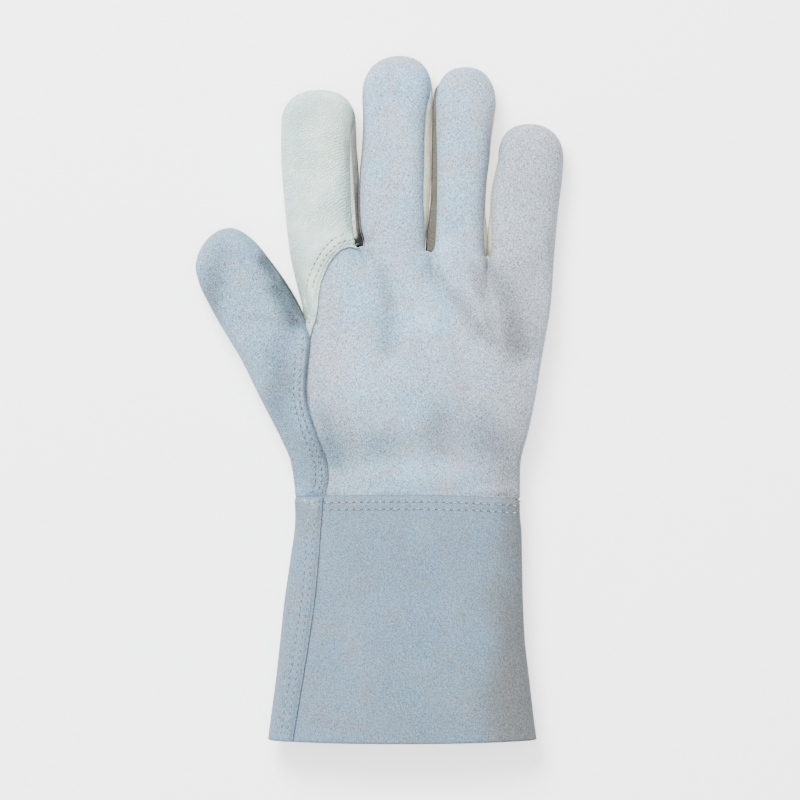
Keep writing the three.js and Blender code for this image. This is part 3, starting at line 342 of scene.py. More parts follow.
CREASES = table(
    "from_x from_y to_x to_y width depth",
    (-52.0, 56, -43.0, 40, 6.0, 1.6),
    (-12.0, -20, -20.0, -28, 9.0, 1.1),
    (64.0, 34, 68.0, 20, 7.0, 0.9),
    (52.0, -12, 62.0, -34, 6.0, 0.8),
    (-6.0, 68, 1.0, 46, 3.6, 0.9),
    (1.0, 46, 4.0, 24, 5.0, 0.7),
    (24.0, 64, 34.0, 48, 3.6, 1.1),
    (34.0, 48, 46.0, 30, 4.6, 0.9),
    (40.0, 66, 48.0, 46, 3.4, 0.7),
    (34.0, 74, 44.0, 50, 2.4, 0.50),
    (52.0, 60, 57.0, 40, 3.4, 0.36),
    (62.0, 60, 68.0, 42, 3.0, 0.40),
    (-22.0, 30, -16.0, 6, 3.4, 0.40),
    (-10.0, -24, 12.0, -34, 3.6, 0.55),
    (44.0, -18, 60.0, -36, 3.4, 0.55),
    (52.0, 2, 66.0, -14, 3.2, 0.40),
    (-60.0, 37, -42.0, 34, 2.6, 0.60),
    (-66.0, 44, -48.0, 42, 2.6, 0.35),
    (-34.0, 96, -20.0, 98, 2.8, 0.30),
    (-16.2, 128, -15.4, 84, 1.3, 0.30),
    (-36.0, 118, -18.0, 120, 3.0, 0.25),
    (-2.0, 100, 14.0, 97, 3.0, 0.28),
    (0.0, 124, 16.0, 122, 2.8, 0.25),
    (30.0, 98, 46.0, 100, 2.6, 0.25),
    (60.0, 90, 78.0, 93, 2.6, 0.28),
)


def dents(x, y):
    """Depth below the smooth back: folds, creases and slow waves of half a millimetre."""
    slow = 0.55 * lattice_noise(x, y, 22, 3) + 0.26 * lattice_noise(x, y, 9, 4)
    fine = 0.08 * lattice_noise(x, y, 4.2, 5)
    total = 1.4 * sum(bells(x, y, FOLDS)) + deepest(x, y, CREASES) - slow - fine
    return total * smooth((y + 46.5) / 9)


# %% [markdown]
# ## Side walls and strips
#
# The hand is divided into four strips, one for each finger. Above its crotch a strip is
# bounded by the walls of its finger, below it by the line of the hollow between fingers.
# Sculpting could give such walls. Functions keep neighbours on one common line, so that
# the leathers meet at their seams.

# %% Walls of the fingers


def wall_x(index, side, y, level):
    """Side of a finger at a level from 1, the top seam, through 0 to -1, the palm seam."""
    finger = FINGERS[index]
    y = np.asarray(y, dtype=float)
    level = np.asarray(level, dtype=float)
    y_row = np.minimum(y, finger["tip_start"])
    column = "left" if side < 0 else "right"
    x = sample(finger["rows"], y_row, column)
    if side > 0 and index == 3:
        x = np.where(y < LITTLE_SIDE_Y, sample(HAND, y, "right"), x)
    crotch_at = index - 1 if side < 0 else index
    fullness = np.ones_like(y)
    if 0 <= crotch_at < len(CROTCHES):
        crotch = CROTCHES[crotch_at]
        rise = np.maximum(0, y - crotch["y"])
        r = crotch["radius"]
        inside = np.clip(rise, 0, r)
        half = np.sqrt(np.maximum(0, r * r - (r - inside) ** 2)) / r
        opened = sample(finger["rows"], crotch["y"] + r, column)
        x = np.where(rise < r, lerp(crotch["x"], opened, half), x)
        fullness = smooth(rise / 5)
    slant = sample(finger["rows"], y_row, "slant_left" if side < 0 else "slant_right")
    inset = np.where(level > 0, slant, 0.7) * level ** 2 * fullness * seam_closing(finger, y)
    x = x - side * inset
    t = tip_turn(finger, y)
    axis = (sample(finger["rows"], y_row, "left") + sample(finger["rows"], y_row, "right")) / 2
    tip = axis + (finger["tip_x"] - axis) * t * t + (x - axis) * tip_scale(finger, y)
    return np.where(t > 0, tip, x)


LAP_LINE = {
    "y": THUMB["inner_y"][:THUMB_ATTACHED + 1],
    "x": THUMB["inner_x"][:THUMB_ATTACHED + 1],
}


def strip_edge(boundary, strip, y, level):
    """x of a strip's left or right edge."""
    y = np.asarray(y, dtype=float)
    if boundary == 0:
        return np.where(y < THUMB_CROTCH_Y, sample(LAP_LINE, y, "x"), wall_x(0, -1, y, level))
    if boundary == 4:
        return wall_x(3, 1, y, level)
    crotch = CROTCHES[boundary - 1]
    wall = wall_x(strip, -1 if strip == boundary else 1, y, level)
    return np.where(y <= crotch["y"], sample(crotch["line"], y, "x"), wall)


def valley(boundary, y):
    """How far the section has parted into fingers at a boundary, 0 in the hand, 1 at the crotch."""
    if boundary == 0:
        start = THUMB_CROTCH_Y - THUMB_VALLEY_LENGTH
        return smooth((y - start) / THUMB_VALLEY_LENGTH)
    end = LITTLE_SIDE_Y if boundary == 4 else CROTCHES[boundary - 1]["y"]
    return smooth((y - (end - VALLEY_LENGTH)) / VALLEY_LENGTH)


def hand_arch(x, y):
    """The hand's own arch, 1 on its centre line and lower toward both sides."""
    left = sample(HAND, y, "left") + SIDE_INSET
    right = sample(HAND, y, "right") - SIDE_INSET
    return roundness(between(x, left, right))


def between(x, left, right):
    """-1 at the left, 1 at the right, and 0 where the two meet."""
    width = np.maximum(right - left, 1e-6)
    return np.where(right - left < 1e-6, 0, np.clip((2 * x - left - right) / width, -1, 1))


def across_strip(strip, x, y, level):
    """-1 at a strip's left edge and 1 at its right edge."""
    return between(x, strip_edge(strip, strip, y, level),
                   strip_edge(strip + 1, strip, y, level))


def hand_top(x, y):
    """Height of the hand's back before fingers and folds."""
    return sample(HAND, y, "middle") + sample(HAND, y, "crown") * hand_arch(x, y)


def hand_low(x, y):
    """Height of the hand's palm before the fingers part."""
    middle = sample(HAND, y, "middle")
    return middle - middle * UNDERSIDE_FULLNESS * hand_arch(x, y)


def top_height(strip, x, y):
    """Height of the back: the hand's arch passing into the rounded finger."""
    finger = FINGERS[strip]
    q = across_strip(strip, x, y, 1)
    scale = tip_scale(finger, y)
    crown = sample(finger["rows"], np.minimum(y, finger["tip_start"]), "crown") * scale
    rounded = finger["middle"] + crown * roundness(q, seam_closing(finger, y))
    share = lerp(valley(strip, y), valley(strip + 1, y), (q + 1) / 2)
    dent = dents(x, y) * (1 - np.abs(q) ** 4 * share) * scale
    return lerp(hand_top(x, y), rounded, share) + GAP / 2 - dent


def palm_raw(strip, x, y):
    """Height of the palm before the floor flattens it."""
    finger = FINGERS[strip]
    q = across_strip(strip, x, y, -1)
    deep = finger["middle"] * UNDERSIDE_FULLNESS * tip_scale(finger, y)
    rounded = finger["middle"] - deep * roundness(q, seam_closing(finger, y))
    share = lerp(valley(strip, y), valley(strip + 1, y), (q + 1) / 2)
    return lerp(hand_low(x, y), rounded, share) - GAP / 2


def palm_height(strip, x, y):
    """Height of the palm, resting on the floor at z = 0."""
    return np.maximum(0, palm_raw(strip, x, y))


def pressed(x, y, z):
    """The hand leather drawn toward the middle of its section, under the cuff's lap."""
    x, y, z = np.broadcast_arrays(x, y, z)
    depth = (LEATHER + 0.4) * smooth((-33 - y) / 12)
    left, right = sample(HAND, y, "left"), sample(HAND, y, "right")
    half, centre = (right - left) / 2, (left + right) / 2
    middle = sample(HAND, y, "middle")
    tall = np.where(z > middle, sample(HAND, y, "crown"), middle * UNDERSIDE_FULLNESS)
    edge = CUFF_TOP - 1.2 * np.maximum(0, (x - centre) / half) ** 2
    waist = (LEATHER + 0.4) * smooth((edge + 0.9 - y) / 2.2)
    narrow = centre + (x - centre) * (1 - waist / half)
    return np.stack([narrow, y + 0 * x, middle + (z - middle) * (1 - depth / tall)], axis=-1)


# %% [markdown]
# ## The thumb
#
# Thumb rows are straight lines from its outer to its inner edge. The first rows end on the
# lap over the back of the hand; the later ones are free, and the tip closes round.
# The thumb could be part of the hand's grid. Rows of its own turn with it, so that its
# cells aren't stretched.

# %% Rows of the thumb


def thumb_row(v):
    """Edges, heights and closing of the thumb row at v, from 0 at the wrist to 16 at the tip."""
    v = np.asarray(v, dtype=float)
    at = np.minimum(v, THUMB_LAST)
    row = {c: sample(THUMB, at, c, "v") for c in (
        "outer_x", "outer_y", "inner_x", "inner_y", "middle", "crown")}
    t = np.clip(v - THUMB_LAST, 0, 1)
    row["scale"] = quarter(t, THUMB_TIP_POWER)
    row["closing"] = 1 - smooth((v - 14.4) / 1.3)
    row["free"] = smooth((v - THUMB_ATTACHED) / 1.5)
    cx, cy = (row["outer_x"] + row["inner_x"]) / 2, (row["outer_y"] + row["inner_y"]) / 2
    dx, dy = row["inner_x"] - row["outer_x"], row["inner_y"] - row["outer_y"]
    width = np.hypot(dx, dy)
    reach = THUMB_TIP_LENGTH * t
    cx, cy = cx - dy / width * reach, cy + dx / width * reach
    row["outer_x"], row["outer_y"] = cx - dx / 2 * row["scale"], cy - dy / 2 * row["scale"]
    inner = (1 - 0.42 * t) * quarter(t, 2.7)
    row["inner_x"], row["inner_y"] = cx + dx / 2 * inner, cy + dy / 2 * inner
    row["width"] = width * (row["scale"] + inner) / 2
    return row


def thumb_plan(row, across, inset=SIDE_INSET):
    """Plan point between the edges of the top leather: across 0 outside, 1 inside."""
    width = np.maximum(row["width"], 1e-6)
    start = np.where(row["width"] > 1e-6, inset * row["closing"] / width, 0)
    end = np.where(row["width"] > 1e-6, 1 - inset * row["closing"] * row["free"] / width, 1)
    share = lerp(start, end, across)
    x = lerp(row["outer_x"], row["inner_x"], share)
    return x, lerp(row["outer_y"], row["inner_y"], share)


def thumb_top(v, across):
    """Height of the thumb's back: a rounded tube that joins the hand below the crotch."""
    row = thumb_row(v)
    x, y = thumb_plan(row, across)
    q = across * 2 - 1
    tube = row["middle"] + row["crown"] * row["scale"] * roundness(q, row["closing"])
    side = row["middle"] + row["crown"] * row["scale"] * SEAM_HEIGHT * row["closing"]
    lap_y = np.minimum(row["inner_y"], THUMB_CROTCH_Y)
    hollow = valley(0, lap_y)
    hand_side = top_height(0, row["inner_x"], lap_y) - GAP / 2
    hand_side = hand_side + dents(row["inner_x"], lap_y) * (1 - hollow)
    joined = tube + (hand_side - side) * (1 - row["free"]) * smooth(across)
    rounding = lerp(row["free"], np.maximum(row["free"], hollow), smooth(across))
    dent = dents(x, y) * row["scale"] * (1 - np.abs(q) ** 4 * rounding)
    return lerp(hand_top(x, y), joined, smooth((np.asarray(v) - 1.5) / 5)) + GAP / 2 - dent


def thumb_palm(v, across):
    """Height of the thumb's palm side, flattened by the floor."""
    row = thumb_row(v)
    x, y = thumb_plan(row, across)
    q = across * 2 - 1
    deep = row["middle"] * UNDERSIDE_FULLNESS * row["scale"]
    tube = row["middle"] - deep * roundness(q, row["closing"])
    side = row["middle"] - deep * SEAM_HEIGHT * row["closing"]
    hand_side = palm_raw(0, row["inner_x"], np.minimum(row["inner_y"], THUMB_CROTCH_Y)) + GAP / 2
    joined = tube + (hand_side - side) * (1 - row["free"]) * smooth(across)
    palm = lerp(hand_low(x, y), joined, smooth((np.asarray(v) - 1.5) / 5))
    return np.maximum(0, palm - GAP / 2)


def thumb_lap_depth(v, width):
    """Depth of leather hidden under the thumb panel's edge."""
    return np.minimum(lerp(LAP_DEPTH, 0.9, smooth((v - 7) / 3)), width * 0.42)


def sink(v):
    """How far the hidden leather, not the lapped edge, gives way toward the wrist."""
    return LIFT * (1 - smooth((v - 1) / 2))


# %% [markdown]
# ## A sheet of leather
#
# A sheet gathers grids of points, welds equal points, and becomes a closed solid: the outer
# surface, an inner one a leather thickness below, and a rounded cut edge between them.
# A Solidify modifier could thicken it. Code is used, because a lapped edge is lifted
# straight up and a seam edge is offset level, which no modifier does.

# %% From grids to closed leather


def skive(distance):
    """Leather pared away toward a lapped edge, so that the edge stands up less."""
    return 0.68 * LEATHER * (1 - smooth(distance / 2.4))


def cell(x, y, z, lift=0.0, seam=0.0, thin=0.0):
    """Rows of points with the lift of a lapped edge, a seam mark, and the paring there."""
    xyz = pressed(x, y, z)
    shape = xyz.shape[:-1]
    extra = [np.broadcast_to(np.asarray(part, dtype=float), shape)
             for part in (lift, seam, thin)]
    return np.concatenate([xyz, np.stack(extra, axis=-1)], axis=-1)


def join_columns(*parts):
    """Grids side by side."""
    return np.concatenate(parts, axis=1)


class Sheet:
    """Grids of leather that share their touching points."""

    def __init__(self):
        self.grids = []

    def add(self, grid):
        self.grids.append(np.asarray(grid, dtype=float))

    def weld(self):
        """All points once, and the quads between them, wound outward."""
        points, quads, start = [], [], 0
        for grid in self.grids:
            rows, cols = grid.shape[:2]
            ids = np.arange(rows * cols).reshape(rows, cols) + start
            quads.append(np.stack([
                ids[:-1, :-1], ids[:-1, 1:], ids[1:, 1:], ids[1:, :-1]], axis=-1).reshape(-1, 4))
            points.append(grid.reshape(-1, grid.shape[2]))
            start += rows * cols
        points = np.concatenate(points)
        quads = np.concatenate(quads)
        keys = np.round(points[:, :3] * 1000).astype(np.int64)
        _, first, back = np.unique(keys, axis=0, return_index=True, return_inverse=True)
        quads = back.reshape(-1)[quads]
        kept = points[first].copy()
        np.maximum.at(kept[:, 4], back.reshape(-1), points[:, 4])
        a, b, c, d = quads.T
        same = (a == b).astype(int) + (b == c) + (c == d) + (d == a) + (a == c) + (b == d)
        return kept, quads[same == 0], drop_repeats(quads[same == 1])


def drop_repeats(quads):
    """Triangles left when one side of a quad has closed to a point."""
    out = []
    for k in range(4):
        hit = quads[:, k] == quads[:, (k + 1) % 4]
        keep = [i for i in range(4) if i != (k + 1) % 4]
        out.append(quads[hit][:, keep])
    return np.concatenate(out)


def face_normals(points, quads, tris):
    """Area-weighted normals of the points, from the diagonals of the quads."""
    normals = np.zeros_like(points)
    cross = np.cross(points[quads[:, 2]] - points[quads[:, 0]],
                     points[quads[:, 3]] - points[quads[:, 1]])
    for k in range(4):
        np.add.at(normals, quads[:, k], cross)
    cross = np.cross(points[tris[:, 1]] - points[tris[:, 0]],
                     points[tris[:, 2]] - points[tris[:, 0]])
    for k in range(3):
        np.add.at(normals, tris[:, k], cross)
    return normals / np.maximum(np.linalg.norm(normals, axis=1, keepdims=True), 1e-12)


def rim_edges(quads, tris, count):
    """Directed edges that belong to one face only, as rows of two point numbers."""
    edges = np.concatenate([
        np.stack([faces[:, k], faces[:, (k + 1) % sides]], axis=1)
        for faces, sides in ((quads, 4), (tris, 3)) for k in range(sides)])
    forward = edges[:, 0] * count + edges[:, 1]
    backward = edges[:, 1] * count + edges[:, 0]
    return edges[~np.isin(forward, backward)]


RIM_STEPS = 4


def stitch_groove(distance, rows):
    """Height change at a distance from an edge: each stitch row pulls the leather in."""
    return sum(-0.26 * np.exp(-((distance - row) / 0.7) ** 2) for row in rows)


def leather_solid(name, sheet, material, seam_side=0, tone=None):
    """Outer and inner surface of a sheet with a rounded edge, as one mesh object.

    A lapped edge is lifted straight up, and seam points are offset level, so that two
    leathers meet face to face. The offset follows the normals, or keeps to one side of
    the rim where seam_side is 1 or -1. The tone of the hide, with painted shade and
    painted light mixed into it, is a function of x and y.
    """
    cells, quads, tris = sheet.weld()
    outer = cells[:, :3].copy()
    base = face_normals(outer, quads, tris)
    outer[:, 2] += cells[:, 3] / np.maximum(0.5, base[:, 2])
    seam = cells[:, 4] > 0.5
    edges = rim_edges(quads, tris, len(outer))
    outer[:, 2] = np.maximum(outer[:, 2], 0.0)
    normal = face_normals(outer, quads, tris)
    level = np.zeros_like(outer)
    both = edges[seam[edges[:, 0]] & seam[edges[:, 1]]]
    if len(both):
        along = outer[both[:, 1]] - outer[both[:, 0]]
        side = np.stack([along[:, 1], -along[:, 0], np.zeros(len(along))], axis=1)
        side /= np.maximum(np.linalg.norm(side, axis=1, keepdims=True), 1e-9)
        for k in range(2):
            turn = np.sign(np.sum(side * normal[both[:, k]], axis=1, keepdims=True))
            np.add.at(level, both[:, k], side * (seam_side or np.where(turn == 0, 1, turn)))
    size = np.linalg.norm(level, axis=1, keepdims=True)
    direction = np.where(size > 1e-6, level / np.maximum(size, 1e-9), normal)
    inner = outer - direction * (LEATHER - cells[:, 5:6])
    count = len(outer)
    points = [outer, inner]
    rim_ids = np.unique(edges)
    lookup = np.full(count, -1)
    lookup[rim_ids] = np.arange(len(rim_ids))
    out = np.zeros_like(outer)
    along = outer[edges[:, 1]] - outer[edges[:, 0]]
    for k in range(2):
        push = np.cross(along, direction[edges[:, k]])
        push /= np.maximum(np.linalg.norm(push, axis=1, keepdims=True), 1e-9)
        np.add.at(out, edges[:, k], push)
    out = out[rim_ids]
    out /= np.maximum(np.linalg.norm(out, axis=1, keepdims=True), 1e-9)
    ring = [rim_ids]
    total = 2 * count
    for step in range(1, RIM_STEPS):
        share = step / RIM_STEPS
        bulge = 0.16 * LEATHER * math.sin(math.pi * share)
        points.append(lerp(outer[rim_ids], inner[rim_ids], share) + out * bulge)
        ring.append(np.arange(len(rim_ids)) + total)
        total += len(rim_ids)
    ring.append(rim_ids + count)
    a, b = lookup[edges[:, 0]], lookup[edges[:, 1]]
    rims = [np.stack([ring[s][a], ring[s + 1][a], ring[s + 1][b], ring[s][b]], axis=1)
            for s in range(RIM_STEPS)]
    all_points = np.concatenate(points) * MM
    all_quads = np.concatenate([quads, quads[:, ::-1] + count, *rims])
    all_tris = np.concatenate([tris, tris[:, ::-1] + count])
    inside = np.zeros(len(all_points))
    inside[count:2 * count] = 1.0
    inside[2 * count:] = 0.5
    obj = mesh_object(name, all_points, all_quads, material, all_tris)
    # Tone: hide colour together with painted shade and painted light, read by the materials.
    tones = (tone or hide_tone_and_painted_shade)(all_points[:, 0] / MM, all_points[:, 1] / MM)
    for label, values in (("inside", inside), ("tone", tones)):
        attribute = obj.data.attributes.new(label, "FLOAT", "POINT")
        attribute.data.foreach_set("value", values.astype(np.float32))
    return obj


# Soft darker and paler patches of the leather: part hide colour, part painted shade and painted
# light, such as the darker right side of the cuff and the thumb's flank.
HIDE_TONES_AND_PAINTED_SHADE = table(
    "x y across along tone",
    (-19, -25, 15, 12, -0.55),
    (-2, -21, 12, 10, -0.35),
    (28, -17, 14, 16, -0.65),
    (12, 0, 12, 10, -0.30),
    (63, 24, 13, 18, -0.30),
    (56, -22, 14, 18, -0.35),
    (62, 62, 14, 12, -0.35),
    (-19, 33, 9, 14, -0.20),
    (10, 120, 9, 34, 0.35),
    (21, 40, 9, 12, 0.30),
    (-10, 40, 7, 12, 0.20),
    (36, 12, 9, 10, 0.20),
    (-6, 4, 9, 14, 0.25),
    (60, 0, 8, 10, 0.15),
    (-47, 8, 10, 26, -0.60),
    (-77, 50, 8, 22, -0.60),
    (-70, 68, 12, 8, -0.20),
    (-60, 40, 8, 14, 0.08),
    (-34, -34, 12, 16, -0.20),
    (34, 70, 12, 8, 0.25),
    (66, -100, 17, 70, -0.80),
    (68, -150, 18, 28, -0.50),
    (-45, -110, 10, 70, -0.35),
    (-28, 138, 16, 8, -0.30),
    (-29, 104, 9, 22, 0.45),
    (-16, 110, 4, 34, -0.35),
)


# Painted shade along folds and creases and down the thumb's flank, and a thin painted shadow line
# on the hand just above the cuff's top edge.
PAINTED_FOLD_SHADE = table(
    "from_x from_y to_x to_y width depth",
    (-5.5, 72, 0.0, 60, 5.0, 0.42),
    (0.0, 60, 3.8, 44, 6.0, 0.55),
    (3.8, 44, 3.0, 24, 7.0, 0.50),
    (23.5, 64, 34.0, 49, 4.4, 0.62),
    (34.0, 49, 47.0, 32, 6.0, 0.64),
    (39.5, 70, 47.0, 54, 4.0, 0.48),
    (47.0, 54, 51.0, 28, 4.8, 0.50),
    (50.8, 62, 57.0, 50, 4.5, 0.34),
    (57.0, 50, 64.0, 26, 6.5, 0.42),
    (-54.5, 65, -45.5, 51, 3.4, 0.72),
    (-47.0, 52, -39.5, 38, 6.2, 0.88),
    (-45.5, 55, -37.5, 40, 3.0, 1.10),
    (-30.5, 24, -28.0, 4, 3.0, 0.25),
    (-27.0, -6, -20.0, -30, 4.5, 0.35),
    (18.0, 20, 26.0, -6, 6.0, 0.20),
    (-34.0, -44.5, 60.0, -44.5, 1.5, 0.35),
    (-15.8, 128, -15.2, 82, 0.7, 0.20),
)


def hide_tone_and_painted_shade(x, y):
    """Sum of soft darker and paler patches, part hide colour and part painted shade and light, and
    of painted shade along the folds.
    """
    total = 0.22 * lattice_noise(x, y, 15, 12) - deepest(x, y, PAINTED_FOLD_SHADE)
    for px, py, across, along, tone in zip(*HIDE_TONES_AND_PAINTED_SHADE.values()):
        total = total + tone * np.exp(-((x - px) / across) ** 2 - ((y - py) / along) ** 2)
    return total


def mesh_object(name, points, quads, material, tris=None):
    """A smooth-shaded mesh object in the scene's own collection."""
    mesh = bpy.data.meshes.new(name)
    tris = np.zeros((0, 3), dtype=int) if tris is None else tris
    loops = np.concatenate([quads.reshape(-1), tris.reshape(-1)]).astype(np.int32)
    starts = np.concatenate([
        np.arange(len(quads)) * 4, len(quads) * 4 + np.arange(len(tris)) * 3]).astype(np.int32)
    mesh.vertices.add(len(points))
    mesh.vertices.foreach_set("co", points.astype(np.float32).reshape(-1))
    mesh.loops.add(len(loops))
    mesh.loops.foreach_set("vertex_index", loops)
    mesh.polygons.add(len(starts))
    mesh.polygons.foreach_set("loop_start", starts)
    mesh.update(calc_edges=True)
    mesh.polygons.foreach_set("use_smooth", np.ones(len(mesh.polygons), dtype=bool))
    mesh.materials.append(material)
    obj = bpy.data.objects.new(name, mesh)
    bpy.context.scene.collection.objects.link(obj)
    return obj


def dense(stops, step):
    """Positions through the stops, with extra ones so that none lie further apart than step."""
    out = [np.array([stops[0]], dtype=float)]
    for a, b in zip(stops[:-1], stops[1:]):
        parts = max(1, math.ceil(abs(b - a) / step))
        out.append(np.linspace(a, b, parts + 1)[1:])
    return np.concatenate(out)


def turned(count):
    """Shares from 0 to 1 that lie closer together at both ends."""
    return 0.5 - 0.5 * np.cos(np.pi * np.arange(count + 1) / count)


# %% [markdown]
# ## Materials
#
# Split leather is the fibrous inner hide: a short nap, matt, mottled with paler and bluer
# fibres. Grain leather keeps the hide's skin: smoother, with pores and fine wrinkles.
# Pictures of leather could be used. Noise nodes need no file, and stay sharp in a close
# view.

# %% Split leather, grain leather and thread


def linear(hex_colour):
    """An sRGB hex colour as linear red, green, blue and alpha."""
    channels = [int(hex_colour[i:i + 2], 16) / 255 for i in (1, 3, 5)]
    return tuple(c / 12.92 if c <= 0.04045 else ((c + 0.055) / 1.055) ** 2.4
                 for c in channels) + (1.0,)


class Nodes:
    """A material in the making: most methods add one node and return its output."""

    def __init__(self, name):
        self.material = bpy.data.materials.new(name)
        self.material.use_nodes = True
        self.tree = self.material.node_tree
        self.tree.nodes.clear()

    def add(self, kind, values=None, links=None, output=0, **settings):
        """A node with its settings and values set and its inputs joined."""
        node = self.tree.nodes.new(kind)
        for key, value in settings.items():
            setattr(node, key, value)
        for key, value in (values or {}).items():
            node.inputs[key].default_value = value
        for key, source in (links or {}).items():
            self.tree.links.new(source, node.inputs[key])
        return node.outputs[output] if node.outputs else None

    def mix(self, factor, a, b, blend="MIX"):
        """Colour mix by a factor; each of the three is a socket or a fixed value."""
        values, links = {}, {}
        for key, value in ((0, factor), (6, a), (7, b)):
            if isinstance(value, bpy.types.NodeSocket):
                links[key] = value
            else:
                values[key] = linear(value) if isinstance(value, str) else value
        return self.add("ShaderNodeMix", values, links, 2, data_type="RGBA", blend_type=blend)

    def noise(self, vector, scale, detail=4.0, roughness=0.6, distortion=0.0):
        """Noise at a scale given per metre."""
        return self.add("ShaderNodeTexNoise", {
            "Scale": scale, "Detail": detail, "Roughness": roughness,
            "Distortion": distortion}, {"Vector": vector})

    def math(self, operation, *inputs):
        """Arithmetic on sockets and numbers."""
        return self.add(
            "ShaderNodeMath",
            {i: v for i, v in enumerate(inputs) if isinstance(v, float)},
            {i: v for i, v in enumerate(inputs) if not isinstance(v, float)},
            operation=operation)

    def ramp(self, source, low, high, share=None):
        """Zero below low and a share, or one, above high."""
        result = self.add("ShaderNodeMapRange", {"From Min": low, "From Max": high},
                          {"Value": source}, interpolation_type="SMOOTHSTEP")
        return result if share is None else self.math("MULTIPLY", result, float(share))

    def attribute(self, name):
        """A number stored on the points of the mesh."""
        return self.add("ShaderNodeAttribute", output="Fac", attribute_name=name)

    def finish(self, values, colour=None, height=None, strength=0.0, depth=0.0):
        """The material, coloured by a socket and bumped by a height where they are given."""
        links = {}
        if colour is not None:
            links = {"Base Color": colour, "Normal": self.add(
                "ShaderNodeBump", {"Strength": strength, "Distance": depth},
                {"Height": height})}
        shader = self.add("ShaderNodeBsdfPrincipled", values, links)
        self.add("ShaderNodeOutputMaterial", links={"Surface": shader})
        return self.material


def split_leather(name, base, cool, neutral, dusk, cool_dusk, inner, felt, greyer):
    """Split cowhide suede: clouds of bluer and greyer hide under a fine felted nap, with painted
    shade and light and a painted shadow on the cut edges.
    """
    nodes = Nodes(name)
    at = nodes.add("ShaderNodeTexCoord", output="Object")
    combed = nodes.add("ShaderNodeMapping", {
        "Rotation": (0, 0, 0.7), "Scale": (1.0, 0.62, 1.0)}, {"Vector": at})
    felted = nodes.math("MULTIPLY", nodes.noise(at, 1350, 3, 0.7, 0.6), 0.42)
    fibres = nodes.math("MULTIPLY_ADD", nodes.noise(combed, 2300, 2, 0.6, 0.5), 0.58, felted)
    colour = nodes.mix(nodes.ramp(nodes.noise(at, 34), 0.40, 0.60), base, cool)
    patch = nodes.noise(at, 95, 4, 0.62)
    colour = nodes.mix(nodes.ramp(patch, 0.46, 0.68, 0.7), colour, neutral)
    across = nodes.add("ShaderNodeSeparateXYZ", links={"Vector": at})
    # Greyer, slightly darker suede toward the right side, part hide colour and part painted shade
    # on the side turned from the key light, and a weaker greying on the left.
    for start, end, share in ((0.034, 0.062, greyer), (-0.012, -0.026, 0.55 * greyer)):
        colour = nodes.mix(nodes.ramp(across, start, end, share), colour, neutral)
    # Painted shade: below 0 the tone turns the colour toward the dusk colours, bluer on the left
    # and greyer on the right; above 0 it turns paler, in part painted light.
    tone = nodes.attribute("tone")
    shadow = nodes.mix(nodes.ramp(across, 0.0, 0.035), cool_dusk, dusk)
    colour = nodes.mix(nodes.ramp(tone, 0.0, -1.0, 0.95), colour, shadow)
    colour = nodes.mix(nodes.ramp(tone, 0.0, 1.0, 0.6), colour, "#bfcfdd")
    shade = nodes.add("ShaderNodeValToRGB", links={"Fac": fibres})
    for element, place, side in zip(
            shade.node.color_ramp.elements, (0.38, 0.62), (-felt, felt)):
        element.position = place
        element.color = (1 + 0.62 * side, 1 + 0.58 * side, 1 + 0.54 * side, 1)
    colour = nodes.mix(1.0, colour, shade, "MULTIPLY")
    # A dark colour on the cut edges is painted shadow under the lapped edges; the inner surface
    # takes the flesh colour.
    inside = nodes.attribute("inside")
    colour = nodes.mix(nodes.ramp(inside, 0.08, 0.42), colour, "#3d464c")
    colour = nodes.mix(nodes.ramp(inside, 0.60, 0.95), colour, inner)
    return nodes.finish({
        "Roughness": 0.96, "Specular IOR Level": 0.12, "Sheen Weight": 0.05,
        "Sheen Roughness": 0.5, "Sheen Tint": linear("#e6ecf2"),
    }, colour, fibres, 0.6, 0.0005)


